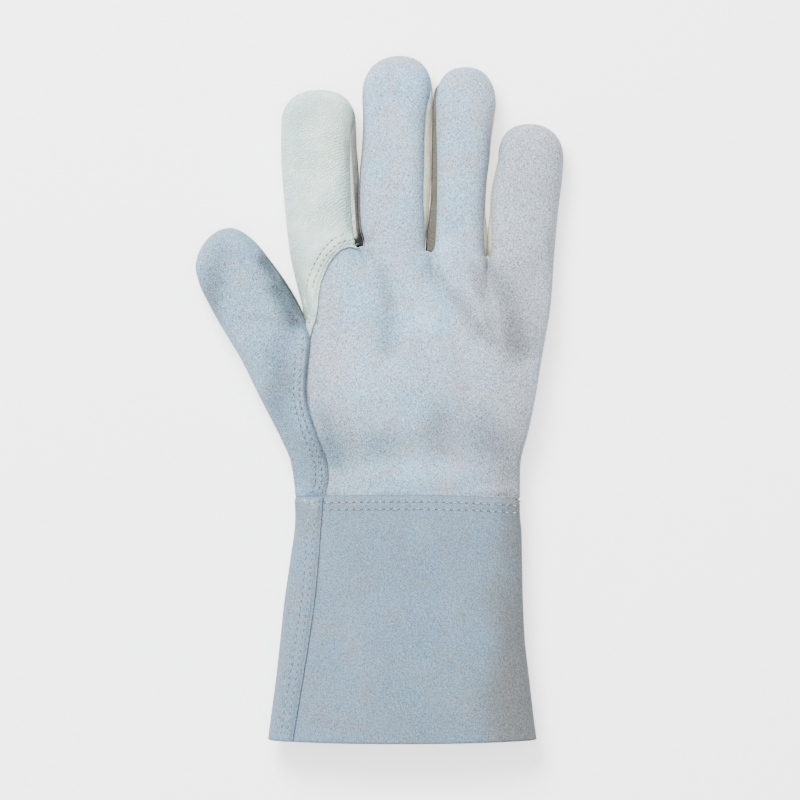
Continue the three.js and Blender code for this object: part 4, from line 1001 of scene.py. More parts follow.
def grain_leather(name, base, worn, dusk, shadow, inner, wrinkle):
    """Grain cowhide: pores, arcs of fine wrinkles round the crotch and a low gloss, with painted
    shade and light from the tone.
    """
    nodes = Nodes(name)
    at = nodes.add("ShaderNodeTexCoord", output="Object")
    cloud = nodes.noise(at, 42)
    fine = nodes.noise(at, 1500, 3)
    cells = nodes.add("ShaderNodeTexVoronoi", {"Scale": 900.0, "Randomness": 1.0},
                      {"Vector": at}, feature="DISTANCE_TO_EDGE")
    centred = nodes.add("ShaderNodeMapping", {"Location": (-0.005, -0.055, 0.0)}, {"Vector": at})
    arcs = nodes.add("ShaderNodeTexWave", {
        "Scale": 230.0, "Distortion": 8.0, "Detail": 4.0, "Detail Scale": 1.5,
        "Detail Roughness": 0.6}, {"Vector": centred}, "Fac",
        wave_type="RINGS", rings_direction="Z")
    faint = nodes.math("MULTIPLY", nodes.ramp(arcs, 0.15, 0.85), nodes.ramp(cloud, 0.36, 0.60))
    colour = nodes.mix(nodes.ramp(cloud, 0.38, 0.66), base, worn)
    colour = nodes.mix(nodes.ramp(nodes.noise(at, 150), 0.50, 0.75), colour, dusk)
    # Painted shade: below 0 the tone turns the colour toward the shadow colour; on the index a tone
    # above 0 makes it paler, in part painted light.
    tone = nodes.attribute("tone")
    colour = nodes.mix(nodes.ramp(tone, 0.0, -1.0, 0.98), colour, shadow)
    if wrinkle > 1:
        colour = nodes.mix(nodes.ramp(tone, 0.0, 0.6, 0.6), colour, "#e3f4ec")
    lines = nodes.math("MULTIPLY", faint, 0.36 * wrinkle)
    colour = nodes.mix(lines, colour, (0.58, 0.62, 0.65, 1), "MULTIPLY")
    pits = nodes.ramp(fine, 0.52, 0.38, 0.45)
    colour = nodes.mix(pits, colour, (0.66, 0.70, 0.71, 1), "MULTIPLY")
    # Inner surface and cut edges take the inner colour; on the strips between the fingers it is
    # dark, painted shade.
    colour = nodes.mix(nodes.ramp(nodes.attribute("inside"), 0.1, 0.6), colour, inner)
    pores = nodes.ramp(cells, 0.0, 0.18)
    parts = nodes.math("MULTIPLY_ADD", faint, -1.1 * wrinkle, pores)
    height = nodes.math("MULTIPLY_ADD", fine, 0.5, parts)
    return nodes.finish({"Roughness": 0.62, "Specular IOR Level": 0.30, "Sheen Weight": 0.04},
                        colour, height, 0.8, 0.0005)


def sewing_thread(name, base, shadow):
    """Twisted aramid thread, matt and a little fuzzy."""
    nodes = Nodes(name)
    at = nodes.add("ShaderNodeTexCoord", output="Object")
    colour = nodes.mix(nodes.ramp(nodes.noise(at, 160, 2, 0.5), 0.35, 0.65), base, shadow)
    return nodes.finish({"Roughness": 0.85, "Sheen Weight": 0.2},
                        colour, nodes.noise(at, 4200, 2, 0.6), 0.5, 0.0002)


hand_split = split_leather("split_cowhide_suede", "#94a6b4", "#8aa8be", "#9a9ca3",
                           "#6b6f75", "#647582", "#8d9089", 1.1, 0.75)
thumb_split = split_leather("split_cowhide_suede_thumb", "#7f95a7", "#7795ab", "#8994a0",
                            "#46525a", "#46525a", "#85897f", 1.1, 0.0)
cuff_split = split_leather("split_cowhide_suede_cuff", "#6e808f", "#698092", "#737b84",
                           "#626464", "#53636f", "#7d817a", 0.76, 0.0)
index_grain = grain_leather("grain_cowhide", "#e4faee", "#d4f2ed", "#dff4e1", "#9fada6",
                            "#c9d5ca", 1.2)
# Strips between the fingers: cream set near white, painted light against the shade of the gap, with
# near-black shadow and edge colours that are painted shade.
strip_grain = grain_leather("grain_cowhide_strips", "#f6f2dc", "#ece8cc", "#dcd8bb", "#1c1b14",
                            "#77735c", 0.6)
gap_grain = grain_leather("grain_cowhide_in_the_gap", "#eef2ea", "#e2e6dc", "#d2d6cb", "#0d0f10",
                          "#15181a", 0.6)
# Palm and the thumb's palm side are coloured dark olive as painted shade, since they are seen only
# in shadow at their edges.
palm_grain_painted_shade = grain_leather("grain_cowhide_palm_painted_shade", "#7a7c67", "#71715d", "#686854", "#55553f",
                           "#77776a", 0.9)
thumb_grain_painted_shade = grain_leather("grain_cowhide_thumb_painted_shade", "#60624f", "#565847", "#4d4f3e", "#34352a",
                            "#77776a", 0.9)
thread_cream = sewing_thread("aramid_thread_cream", "#c6d2bf", "#b6c4b3")
thread_wrist = sewing_thread("aramid_thread_wrist", "#9fada0", "#8f9e98")
thread_grey = sewing_thread("aramid_thread_pale_grey", "#8796a0", "#7c8c92")
thread_yellow = sewing_thread("aramid_thread_yellow", "#b4c0a4", "#94a389")
# Colour of the dark discs painted as the shadow in the needle holes.
needle_dark = sewing_thread("needle_hole_shadow", "#3a464c", "#303a40")
print("materials ready")

# %% [markdown]
# ## Back panel
#
# One piece of split leather: the back of the hand with the backs of three fingers, wrapped
# round the right side. Its left edge runs on beneath the thumb panel and the index leather.
# It could be a box with its fingers pulled out. Rows of points from wrist to finger tips
# are used, because the folds and the nap then run on over the whole piece.

# %% Build the back panel
STEP = 1.15
ROW_PITCH = 8.5
STRIP_WIDTH = 30
TIP_STEPS = 18
FOOT_LEVEL_Y = 88.0
WALL_LEVELS = np.array([0.8, 0.55, 0.25, -0.1, -0.45, -0.8, -1.0])
CLOSED_HEIGHT = 0.25


def wall_cells(strip, side, y, levels, top_gap=0.0, low_gap=0.0, raised=0.0, bulge=0.0):
    """Cells down a side wall, from the top seam to the palm seam, for each row y."""
    y = np.asarray(y, dtype=float)[:, None]
    level = np.asarray(levels, dtype=float)[None, :]
    boundary = strip + (side > 0)
    upper = top_height(strip, strip_edge(boundary, strip, y, 1.0), y) - top_gap
    lower = palm_height(strip, strip_edge(boundary, strip, y, -1.0), y) + low_gap
    middle = FINGERS[strip]["middle"]
    if side > 0 and strip == 3:
        in_hand = lerp(sample(HAND, y, "middle"), middle, valley(4, y))
        middle = np.where(y < LITTLE_SIDE_Y, in_hand, middle)
    closed = upper <= lower + CLOSED_HEIGHT
    x = wall_x(strip, side, y + 0 * level, np.where(closed, 1.0, level))
    swelling = np.asarray(bulge, dtype=float).reshape(-1, 1)
    x = x + side * swelling * np.where(closed, 0, np.maximum(0, 1 - np.abs(level) ** 3))
    z = np.where(level > 0, lerp(middle, upper, level), lerp(middle, lower, -level))
    z = np.where(closed, (upper + lower) / 2 if top_gap else upper, z)
    at_seam = (level <= -1) | ((level >= 1) & bool(top_gap)) | closed
    lift = np.asarray(raised, dtype=float).reshape(-1, 1) * np.maximum(0, level) * 0.5
    return cell(x, y, z, lift + 0 * x, at_seam + 0 * x)


def strip_cells(strip, level, ends, shares, seams, lift=0.0, x_left=None):
    """Cells across one strip, of the back at level 1 or of the palm at level -1.

    Each row runs between the two ends, which are the y of the strip's left and right
    edge. The seams mark the first and the last column.
    """
    y_left, y_right = ends
    if x_left is None:
        x_left = strip_edge(strip, strip, y_left, level)
    x_right = strip_edge(strip + 1, strip, y_right, level)
    x = lerp(x_left[:, None], x_right[:, None], shares[None, :])
    y = lerp(y_left[:, None], y_right[:, None], shares[None, :])
    height = top_height if level > 0 else palm_height
    marks = np.zeros(x.shape)
    marks[:, 0], marks[:, -1] = seams
    return cell(x, y, height(strip, x, y), lift, marks)


def hand_ends(strip, share, first_y):
    """y of the rows of the hand at a strip's left and right edge."""
    y_left = first_y if strip == 0 else lerp(WRIST_END, CROTCHES[strip - 1]["y"], share)
    end = LITTLE_SIDE_Y if strip == 3 else CROTCHES[strip]["y"]
    return y_left, lerp(WRIST_END, end, share)


def tip_rows(finger):
    """Rows of a fingertip at even turns of its rounding."""
    turn = np.linspace(0, np.pi / 2, TIP_STEPS + 1)[1:]
    y = lerp(finger["tip_start"], finger["tip_end"], np.sin(turn) ** (2 / TIP_POWER))
    y[-1] = finger["tip_end"]
    return y


def finger_rows(strip, left_start=None):
    """Left and right ends of the rows of a finger, from its crotch to its tip."""
    finger = FINGERS[strip]

    level = 81.0 if strip == 3 else FOOT_LEVEL_Y
    near = np.array([0, 0.03, 0.12, 0.3, 0.55, 0.8, 1.0])
    rise = dense([0.0, 1.0], STEP / 10)[1:]
    up = dense([level, finger["tip_start"]], STEP)[1:]

    def ends_at(boundary):
        if 1 <= boundary <= 3:
            start, radius = (CROTCHES[boundary - 1][key] for key in ("y", "radius"))
        else:
            outer = 84.0 if left_start is None else left_start
            start, radius = LITTLE_SIDE_Y if boundary else outer, 2.0
        return np.concatenate([start + near * radius, lerp(start + radius, level, rise), up,
                               tip_rows(finger)])

    return ends_at(strip), ends_at(strip + 1)


def column_count(width):
    """Number of columns across a width, at least six."""
    return max(6, int(width / STEP))


def lap_point(lap, k):
    """x and y of a lap's edge at row number k."""
    return sample(lap, k, "x", "k"), sample(lap, k, "y", "k")


def back_rows():
    """Edge line of the back panel: along the thumb lap, then along the index lap."""
    v = dense(range(THUMB_ATTACHED + 1), STEP / ROW_PITCH)
    k = dense([0.0, 1.0, float(LAP_LAST)], STEP / 6.0)[1:]
    row = thumb_row(v)
    whole = CROTCHES[0]["y"] - WRIST_END
    corner = (THUMB["inner_y"][THUMB_ATTACHED] - WRIST_END) / whole
    lap_x, lap_y = lap_point(INDEX_LAP, k)
    edge_x = np.concatenate([row["inner_x"], lap_x])
    edge_y = np.concatenate([row["inner_y"], lap_y])
    share = np.concatenate([(row["inner_y"] - WRIST_END) / whole,
                            lerp(corner, 1.0, (k / LAP_LAST) ** 0.92)])
    return v, k, row, edge_x, edge_y, share


def lap_plan(k, distance):
    """Plan point at a distance beyond the index lap edge, for arrays of k and distance."""
    x, y = lap_point(INDEX_LAP, k)
    ahead_x, ahead_y = lap_point(INDEX_LAP, np.minimum(k + 0.5, LAP_LAST))
    back_x, back_y = lap_point(INDEX_LAP, np.maximum(k - 0.5, 0))
    dx, dy = -(ahead_y - back_y), ahead_x - back_x
    length = np.hypot(dx, dy)
    turn = np.clip(1 - k / 3.4, 0, 1)
    dx, dy = lerp(dx / length, -0.3, turn), lerp(dy / length, 0.954, turn)
    unit = np.hypot(dx, dy)
    px, py = x + dx / unit * distance, y + dy / unit * distance
    px = np.maximum(px, wall_x(0, -1, py, 1.0) + 1.2)
    first_y, last_y = y + distance, CROTCHES[0]["y"] + distance
    to_first, to_last = smooth(1 - k), smooth(k - (LAP_LAST - 1))
    px = lerp(px, wall_x(0, -1, first_y, 1.0), to_first)
    py = lerp(py, first_y, to_first)
    px = lerp(px, wall_x(0, 1, last_y, 1.0), to_last)
    return px, lerp(py, last_y, to_last)


def build_back_panel():
    """Hand, three fingers and the right side as one sheet."""
    sheet = Sheet()
    v, k, row, edge_x, edge_y, share = back_rows()
    part = np.linspace(1, 0, 7)[:-1][None, :]
    depth = thumb_lap_depth(v, row["width"])[:, None]
    across = 1 - depth * part / row["width"][:, None]
    rows_2d = {name: value[:, None] for name, value in row.items()}
    x, y = thumb_plan(rows_2d, across)
    under_thumb = cell(x, y, thumb_top(v[:, None] + 0 * across, across), -sink(v)[:, None])
    hidden = sample(INDEX_LAP, k, "depth", "k")[:, None] * part
    x, y = lap_plan(k[:, None] + 0 * hidden, hidden)
    at_end = (k[:, None] >= LAP_LAST) + 0 * x
    under_index = cell(x, y, top_height(0, x, y), 0.0, at_end)
    parts = [np.concatenate([under_thumb, under_index])]
    is_last = share >= 1 - 1e-9
    shares = dense([0.0, 1.0], STEP / STRIP_WIDTH)
    lift = np.zeros((len(share), len(shares)))
    lift[:len(v), 0] = -sink(v)
    parts.append(strip_cells(0, 1, hand_ends(0, share, edge_y), shares, (is_last, is_last),
                             lift, edge_x))
    shares = turned(column_count(STRIP_WIDTH))
    for strip in (1, 2, 3):
        ends = hand_ends(strip, share, edge_y)
        parts.append(strip_cells(strip, 1, ends, shares, (0, is_last))[:, 1:])
    parts.append(wall_cells(3, 1, ends[1], WALL_LEVELS, low_gap=GAP))
    sheet.add(join_columns(*parts))
    for strip in (1, 2, 3):
        ends = finger_rows(strip)
        grid = strip_cells(strip, 1, ends, shares, (1, strip < 3))
        if strip == 3:
            grid = join_columns(grid, wall_cells(3, 1, ends[1], WALL_LEVELS, low_gap=GAP))
        sheet.add(grid)
    return leather_solid("back_of_hand", sheet, hand_split)


pieces = {}
pieces["back_of_hand"] = (build_back_panel(), "back_panel", "split_leather")
print("back panel", len(pieces["back_of_hand"][0].data.polygons), "faces")

# %% [markdown]
# ## Index leather
#
# Grain leather for the index finger. Its foot is lapped over the back panel, its left side
# wraps down to the palm, and its edge stands proud by the thickness of the leather.
# It could be a region of the back panel with another material. The real one is a hide of
# its own that lies on top, so it is a sheet of its own here.

# %% Build the index leather


def foot_distance(x, y):
    """Plan distance to the foot's edge, and the hidden depth at the nearest place of it."""
    k = np.linspace(0, FOOT_LAST, 200)
    foot_x, foot_y = lap_point(INDEX_FOOT, k)
    away = np.hypot(x[..., None] - foot_x, y[..., None] - foot_y)
    return away.min(axis=-1), sample(INDEX_FOOT, k[away.argmin(axis=-1)], "depth", "k")


def build_index_wrap():
    """Rows that pass from the foot's edge into the rows of the finger, then its tip."""
    sheet = Sheet()
    k = dense(range(FOOT_LAST + 1), STEP / 5.0)
    foot_x, foot_y = lap_point(INDEX_FOOT, k)
    turn = np.pi * k / FOOT_LAST
    finish = 0.5 * (0.5 - 0.5 * np.cos(turn)) + 0.5 * np.sin(turn / 2)
    w = dense([0.0, 1.0], STEP / 50)[:, None]
    y = lerp(foot_y, FOOT_LEVEL_Y, w)
    to_x = lerp(wall_x(0, -1, FOOT_LEVEL_Y, 1.0), wall_x(0, 1, FOOT_LEVEL_Y, 1.0), finish)
    x = lerp(foot_x, to_x, w)
    finger = FINGERS[0]
    ups = np.concatenate([dense([FOOT_LEVEL_Y, finger["tip_start"]], STEP)[1:],
                          tip_rows(finger)])[:, None]
    x = np.concatenate([x, lerp(wall_x(0, -1, ups, 1.0), wall_x(0, 1, ups, 1.0), finish)])
    y = np.concatenate([y, ups + 0 * finish])
    from_end = np.arange(len(k))[::-1]
    below = (y < FOOT_LEVEL_Y) & (from_end > 0)
    x = np.where(below, np.minimum(x, wall_x(0, 1, y, 1.0) - 0.12 * from_end), x)
    from_start = np.arange(len(k))
    free = (y < FOOT_LEVEL_Y) & (y > THUMB_CROTCH_Y) & (from_start > 0)
    x = np.where(free, np.maximum(x, wall_x(0, -1, y, 1.0) + 0.12 * from_start), x)
    x[:, 0], x[:, -1] = wall_x(0, -1, y[:, 0], 1.0), wall_x(0, 1, y[:, -1], 1.0)
    away, depth = foot_distance(x, y)
    lift = LIFT * (1 - smooth((away - depth - 0.9) / 3.6)) + stitch_groove(away, INDEX_ROWS)
    lift[:, [0, -1]] = np.maximum(lift[:, [0, -1]], 0)
    thin = skive(away) * (y < FOOT_LEVEL_Y)
    seam = np.zeros_like(x)
    seam[:, -1] = lift[:, -1] < 0.3
    top = cell(x, y, top_height(0, x, y), lift - thin, seam, thin)
    side = wall_cells(0, -1, y[:, 0], WALL_LEVELS[::-1], low_gap=GAP, raised=lift[:, 0])
    sheet.add(join_columns(side, top))
    return leather_solid("index_leather", sheet, index_grain)


pieces["index_leather"] = (build_index_wrap(), "index_wrap", "grain_leather")
print("index leather", len(pieces["index_leather"][0].data.polygons), "faces")

# %% [markdown]
# ## Thumb
#
# The thumb panel is split leather lapped over the back of the hand; the palm side of the
# thumb is grain leather, seen from above only as the narrow wall on its right.
# One closed form could serve for both. The real thumb has a seam along its sides, and two
# sheets show it.

# %% Build the thumb


def thumb_wall(v, side, levels, top_gap=0.0, low_gap=0.0):
    """Cells of the thumb's outer or inner wall, for each row v."""
    v = np.asarray(v, dtype=float)[:, None]
    level = np.asarray(levels, dtype=float)[None, :]
    row = thumb_row(v)
    across = 0.0 if side < 0 else 1.0
    top = thumb_top(v, across) - top_gap
    low = thumb_palm(v, across) + low_gap
    closed = top <= low + CLOSED_HEIGHT
    x, y = thumb_plan(row, across, np.where(closed, SIDE_INSET, SIDE_INSET * level ** 2))
    z = np.where(level > 0, lerp(row["middle"], top, level), lerp(row["middle"], low, -level))
    z = np.where(closed, top if side < 0 else low, z)
    at_seam = (level <= -1) | ((level >= 1) & bool(top_gap)) | closed
    return cell(x, y, z, 0.0, at_seam + 0 * x)


THUMB_V = np.concatenate([
    dense(range(THUMB_LAST + 1), STEP / ROW_PITCH),
    THUMB_LAST + np.sin(np.linspace(0, np.pi / 2, 17)[1:]) ** (2 / THUMB_TIP_POWER),
])
THUMB_V[-1] = THUMB_LAST + 1


def build_thumb_panel():
    """Rows across the thumb, closer together over the lapped edge."""
    sheet = Sheet()
    v = THUMB_V[:, None]
    row = thumb_row(v)
    width = np.maximum(row["width"], 1e-6)
    hidden = thumb_lap_depth(np.minimum(v, THUMB_ATTACHED), row["width"])
    reach = hidden + 0.9
    ramp_end = np.minimum(reach + 4.2, width * 0.86)
    near = np.linspace(0, 1, 13)[None, :]
    slope = np.linspace(0, 1, 7)[None, 1:]
    far = np.linspace(0, 1, column_count(28) + 1)[None, 1:]
    tip = smooth((v - 11.0) / 3.0)
    ramp_share = lerp(np.minimum(ramp_end / width, 0.8), 0.58, tip)
    reach_share = lerp(np.minimum(reach / width, 0.6), 0.43, tip)
    inner = 1 - reach_share * near
    middle = 1 - lerp(reach_share, ramp_share, slope)
    outer = (1 - ramp_share) * (1 - far ** 0.8)
    across = np.concatenate([inner, middle, outer], axis=1)[:, ::-1]
    raised = (LIFT - sink(v)) * (1 - smooth((v - 10.4) / 1.1))
    lift = np.concatenate([raised + 0 * inner, raised * (1 - smooth(slope)) + 0 * middle,
                           0 * outer], axis=1)[:, ::-1]
    lift = lift + stitch_groove((1 - across) * width, THUMB_ROWS) * (v < 9.8)
    x, y = thumb_plan(row, across)
    seam = np.zeros_like(x)
    seam[:, -1] = THUMB_V > 11.4
    thin = skive((1 - across) * width) * (1 - smooth((v - 10.0) / 1.2))
    top = cell(x, y, thumb_top(v + 0 * across, across), lift - thin, seam, thin)
    side = thumb_wall(THUMB_V, -1, WALL_LEVELS[::-1], low_gap=GAP)
    sheet.add(join_columns(side, top))
    return leather_solid("thumb_back", sheet, thumb_split)


def build_thumb_front():
    """Palm side of the thumb and, above the crotch, its inner wall."""
    sheet = Sheet()
    v = THUMB_V[:, None]
    row = thumb_row(v)
    across = turned(column_count(STRIP_WIDTH))[::-1][None, :]
    x, y = thumb_plan(row, across)
    x = x - np.where(v <= THUMB_ATTACHED, GAP * smooth((across - 0.8) / 0.2), 0)
    seam = (across <= 0) | ((across >= 1) & (v > THUMB_ATTACHED))
    sheet.add(cell(x, y, thumb_palm(v + 0 * across, across), 0.0, seam + 0 * x))
    free = THUMB_V[THUMB_V >= 10.5 - 1e-9]
    sheet.add(thumb_wall(free, 1, [1, 0.7, 0.35, 0, -0.35, -0.7, -1.0], top_gap=GAP))
    return leather_solid("thumb_palm_side", sheet, thumb_grain_painted_shade)


pieces["thumb_back"] = (build_thumb_panel(), "thumb_panel", "split_leather")
pieces["thumb_palm_side"] = (build_thumb_front(), "thumb_front", "grain_leather")
print("thumb", [len(pieces[n][0].data.polygons) for n in ("thumb_back", "thumb_palm_side")])

# %% [markdown]
# ## Palm
#
# Plain grain leather under the hand and four fingers, flat where it rests.
# A flat plate would do from above. The palm is built of the same strips as the back, so
# that its edge follows the back's edge from every side.

# %% Build the palm


def build_palm():
    """Hand and four fingers, columns from right to left so that the outside faces down."""
    sheet = Sheet()
    v = dense([0, 1, 2, 3.2, 4.4, 5.6, 6.8, 8, 9, 10], STEP / ROW_PITCH)
    row = thumb_row(v)
    side_y = dense([36.4, CROTCHES[0]["y"]], STEP)
    x_start = np.concatenate([row["inner_x"] + GAP, wall_x(0, -1, side_y, -1.0)])
    y_start = np.concatenate([row["inner_y"], side_y])
    share = (y_start - WRIST_END) / (CROTCHES[0]["y"] - WRIST_END)
    shares = turned(column_count(STRIP_WIDTH))[::-1]
    is_last = share > 0.9999
    parts = []
    for strip in (3, 2, 1, 0):
        seams = (is_last | (strip == 3), is_last | ((strip == 0) & (y_start > 36)))
        grid = strip_cells(strip, -1, hand_ends(strip, share, y_start), shares, seams,
                           x_left=x_start if strip == 0 else None)
        parts.append(grid if strip == 3 else grid[:, 1:])
    sheet.add(join_columns(*parts))
    for strip in range(4):
        ends = finger_rows(strip, left_start=CROTCHES[0]["y"])
        sheet.add(strip_cells(strip, -1, ends, shares, (1, 1)))
    return leather_solid("palm_leather", sheet, palm_grain_painted_shade, seam_side=-1)


pieces["palm_leather"] = (build_palm(), "palm_panel", "grain_leather")
print("palm", len(pieces["palm_leather"][0].data.polygons), "faces")

# %% [markdown]
# ## Strips between the fingers
#
# Each strip runs down the wall of one finger, round the crotch and up the next wall. On
# the right of the index and middle finger it leans outward, so its cream leather shows.
# The gaps could be left dark. Real strips catch light at their edges, so they are built.

# %% Build the strips


STRIP_REACH = {1: (100, 118, 1.0), 2: (138, 152, 0.0), 3: (77, 90, 0.5)}


def gap_bulge(boundary, y, left):
    """How far a wall swells into the gap between two fingers, so that the strips touch."""
    until, gone, share = STRIP_REACH[boundary]
    gap = wall_x(boundary, -1, y, 0.0) - wall_x(boundary - 1, 1, y, 0.0)
    near = smooth((y - CROTCHES[boundary - 1]["y"]) / 1.2) * smooth((gone - y) / (gone - until))
    return np.clip(gap - 0.05, 0, 3.8) * near * (share if left else 1 - share)


def strip_painted_shade(boundary, x, y):
    """Painted shade of a strip: 0 on its cream, near 0.8 for olive shade, 1 for black shadow."""
    if boundary == 1:
        edge = np.interp(y, [77, 93, 117], [-11.3, -12.3, -14.0])
        side = np.interp(y, [94, 117], [0.75, 0.58]) * smooth((x - edge) / 0.6)
        # Painted black shadow in the hole at the foot of the crotch.
        hole = smooth((81 - y) / 4) * smooth((x + 10.9) / 0.9)
        return np.maximum(side, np.maximum(hole, smooth((77 - y) / 2)))
    if boundary == 2:
        # A dark painted shadow line between the cream band and the olive painted shade.
        line = np.interp(y, [77, 84, 93, 131], [22.0, 23.3, 24.4, 25.0])
        return np.maximum(0.8 * smooth((x - line) / 0.5), np.exp(-((x - line) / 0.55) ** 2))
    return 0.35 + 0.2 * smooth((CROTCHES[2]["y"] + 6 - y) / 4)


def build_fourchette(boundary, name):
    """Wall cells of two neighbouring fingers joined at the crotch."""
    sheet = Sheet()
    crotch = CROTCHES[boundary - 1]
    levels = np.linspace(-1, 1, 37)

    def heights(strip, at):
        finger = FINGERS[strip]
        rows = finger_rows(strip, left_start=CROTCHES[0]["y"])[at]
        end = finger["tip_start"] + 0.7 * (finger["tip_end"] - finger["tip_start"])
        rows = rows[(rows > crotch["y"] + 1e-6) & (rows < end)]
        return np.append(rows, end)

    y_left, y_right = heights(boundary - 1, 1)[::-1], heights(boundary, 0)
    left = wall_cells(boundary - 1, 1, y_left, levels, GAP, GAP,
                      bulge=gap_bulge(boundary, y_left, True))
    foot = wall_cells(boundary, -1, np.array([crotch["y"]]), levels, GAP, GAP)
    right = wall_cells(boundary, -1, y_right, levels, GAP, GAP,
                       bulge=gap_bulge(boundary, y_right, False))
    sheet.add(np.concatenate([left, foot, right]))
    return leather_solid(name, sheet, gap_grain if boundary == 1 else strip_grain,
                         tone=lambda x, y: -strip_painted_shade(boundary, x, y))


for boundary, name, node in ((1, "strip_index_middle", "fourchette_index_middle"),
                             (2, "strip_middle_ring", "fourchette_middle_ring"),
                             (3, "strip_ring_little", "fourchette_ring_little")):
    pieces[name] = (build_fourchette(boundary, name), node, "grain_leather")
print("strips ready")

# %% [markdown]
# ## Cuff
#
# One sheet wrapped round the wrist. Its left end is lapped over its right end, and its
# lower edge is left raw.
# A bent cylinder would be simpler, but it has no lap. One wrapped grid shows the raised
# edge as the real cuff does.

# %% Build the cuff


def cuff_relief(x, y):
    """Slow waves of the gauntlet, stronger toward its free edge."""
    free = smooth((-60 - y) / 80)
    wave = 0.7 * lattice_noise(x, y, 42, 8) + 0.25 * lattice_noise(x, y, 17, 9)
    wave = wave * (0.35 + 0.65 * free) + 0.06 * lattice_noise(x, y, 4.5, 10)
    return wave * smooth((-50 - y) / 12)


def cuff_edge_wave(x, left, right, share, top):
    """Bow of the raw lower edge and of the sewn upper edge."""
    q = (2 * x - left - right) / (right - left)
    lower = -1.5 * (1 - q * q) * (1 - share) * (1.0 if top else 0.4)
    upper = (0.9 * (1 - q * q) - 1.2 * np.maximum(0, q) ** 2) * smooth((share - 0.8) / 0.2)
    return lower + upper


def build_cuff():
    """Columns from the hidden end, over the back, round both sides, to the lapped edge."""
    share = np.concatenate([dense([0.0, 0.9], STEP / 114),
                            dense([0.9, 1.0], 0.5 * STEP / 114)[1:]])[:, None]
    y_mid = lerp(CUFF_END, CUFF_TOP, share)
    left, right, middle, crown, seam_x = (sample(CUFF, y_mid, c) for c in (
        "left", "right", "middle", "crown", "seam"))
    inset = lerp(SIDE_INSET, 2.6, smooth((-48 - y_mid) / 14))
    top_left, top_right = left + inset, right - inset
    depth = lerp(8.5, 6.2, share)

    def top_z(x):
        q = between(x, top_left, top_right)
        relief = cuff_relief(x, y_mid) + stitch_groove(CUFF_TOP - y_mid, WRIST_ROWS)
        return middle + crown * roundness(q) + GAP / 2 + relief * (1 - q ** 6)

    def low_z(x):
        q = between(x, top_left, top_right)
        return np.maximum(0, middle - middle * UNDERSIDE_FULLNESS * roundness(q))

    def put(x, z, top, swell=0.0, thin=0.0):
        y = y_mid + cuff_edge_wave(x, left, right, share, top)
        thin = np.maximum(thin, skive(CUFF_TOP - y_mid))
        x, y, z, thin = np.broadcast_arrays(x, y, z, thin)
        grid = np.stack([x, y, z, 0 * x, 0 * x, thin], axis=-1)
        return grid, np.broadcast_to(np.asarray(swell, dtype=float), x.shape) - thin

    s = dense([0.0, 1.0], STEP / 96)[None, :]
    bent = np.where(s < 0.25, s, 0.25 + 0.75 * np.sin(
        np.clip((s - 0.25) / 0.75, 0, 1) * np.pi / 2) ** 1.1)
    back = lerp(seam_x - depth, top_right, bent)
    columns = [put(back, top_z(back), True)]

    def side_wall(x_side, sign, levels, swell):
        level = np.asarray(levels)[None, :]
        x_top = top_right if sign > 0 else top_left
        z = np.where(level > 0, lerp(middle, top_z(x_top), level),
                     lerp(middle, low_z(x_top), -level))
        return put(x_side - sign * inset * level ** 2, z, sign < 0, swell(level))

    levels = np.array([0.8, 0.55, 0.25, 0, -0.25, -0.55, -0.8])
    columns.append(side_wall(right, 1, levels, lambda level: 0 * level))
    under = lerp(top_right, top_left, turned(int(110 / STEP))[None, :])
    columns.append(put(under, low_z(under), False))
    columns.append(side_wall(left, -1, levels[::-1],
                             lambda level: LIFT * smooth(np.maximum(0, level))))
    reach = np.maximum(seam_x - depth - 0.9, top_left + 0.8)
    over = np.concatenate([top_left + 0 * share, lerp(
        reach, seam_x, dense([0.0, 1.0], 0.05)[None, :])], axis=1)
    groove = stitch_groove(seam_x - over, CUFF_ROWS) * (over > top_left + 1)
    thin = 1.15 * skive(seam_x - over) * (over > top_left + 1)
    columns.append(put(over, top_z(over), True, LIFT + groove, thin))
    grid = join_columns(*(column for column, _ in columns))
    swell = join_columns(*(amount for _, amount in columns))[..., None]
    normal = np.cross(np.gradient(grid[..., :3], axis=1), np.gradient(grid[..., :3], axis=0))
    normal /= np.maximum(np.linalg.norm(normal, axis=-1, keepdims=True), 1e-9)
    normal[..., :2] *= np.where(swell > 0, 0.3, 1.0)
    grid[..., :3] += normal * swell
    sheet = Sheet()
    sheet.add(grid)
    return leather_solid("cuff_leather", sheet, cuff_split)


pieces["cuff_leather"] = (build_cuff(), "cuff", "split_leather")
print("cuff", len(pieces["cuff_leather"][0].data.polygons), "faces")

# %% [markdown]
# ## Riding on the frame
#
# Each piece stands for one node of the imported model, whose part is hidden.

# %% Ride and replace
for obj, node, slot in pieces.values():
    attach(obj, "root")
    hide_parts(node)

# %% [markdown]
# ## Thread
#
# Stitches lie in double rows. Each one is a short capsule whose ends dip into the leather.
# Its place is found by dropping a ray on the finished leather from above.
# A pattern in the material could stand for them. Solid threads cast their own small
# shadows, which is what makes a seam look sewn.

# %% Stitches and bartack


def drop_on(obj):
    """A function that gives the height and normal of an object's top at x, y."""
    tree = BVHTree.FromObject(obj, bpy.context.evaluated_depsgraph_get())

    def surface(x, y):
        return tree.ray_cast(Vector((x * MM, y * MM, 0.2)), Vector((0, 0, -1)))[:2]

    return surface


def offset_path(xs, ys, distance):
    """A plan curve moved sideways to its left by a distance."""
    dx, dy = np.gradient(xs), np.gradient(ys)
    size = np.maximum(np.hypot(dx, dy), 1e-9)
    return xs - dy / size * distance, ys + dx / size * distance


def run_length(xs, ys):
    """Length of a plan curve from its start to each of its points."""
    return np.concatenate([[0], np.cumsum(np.hypot(np.diff(xs), np.diff(ys)))])


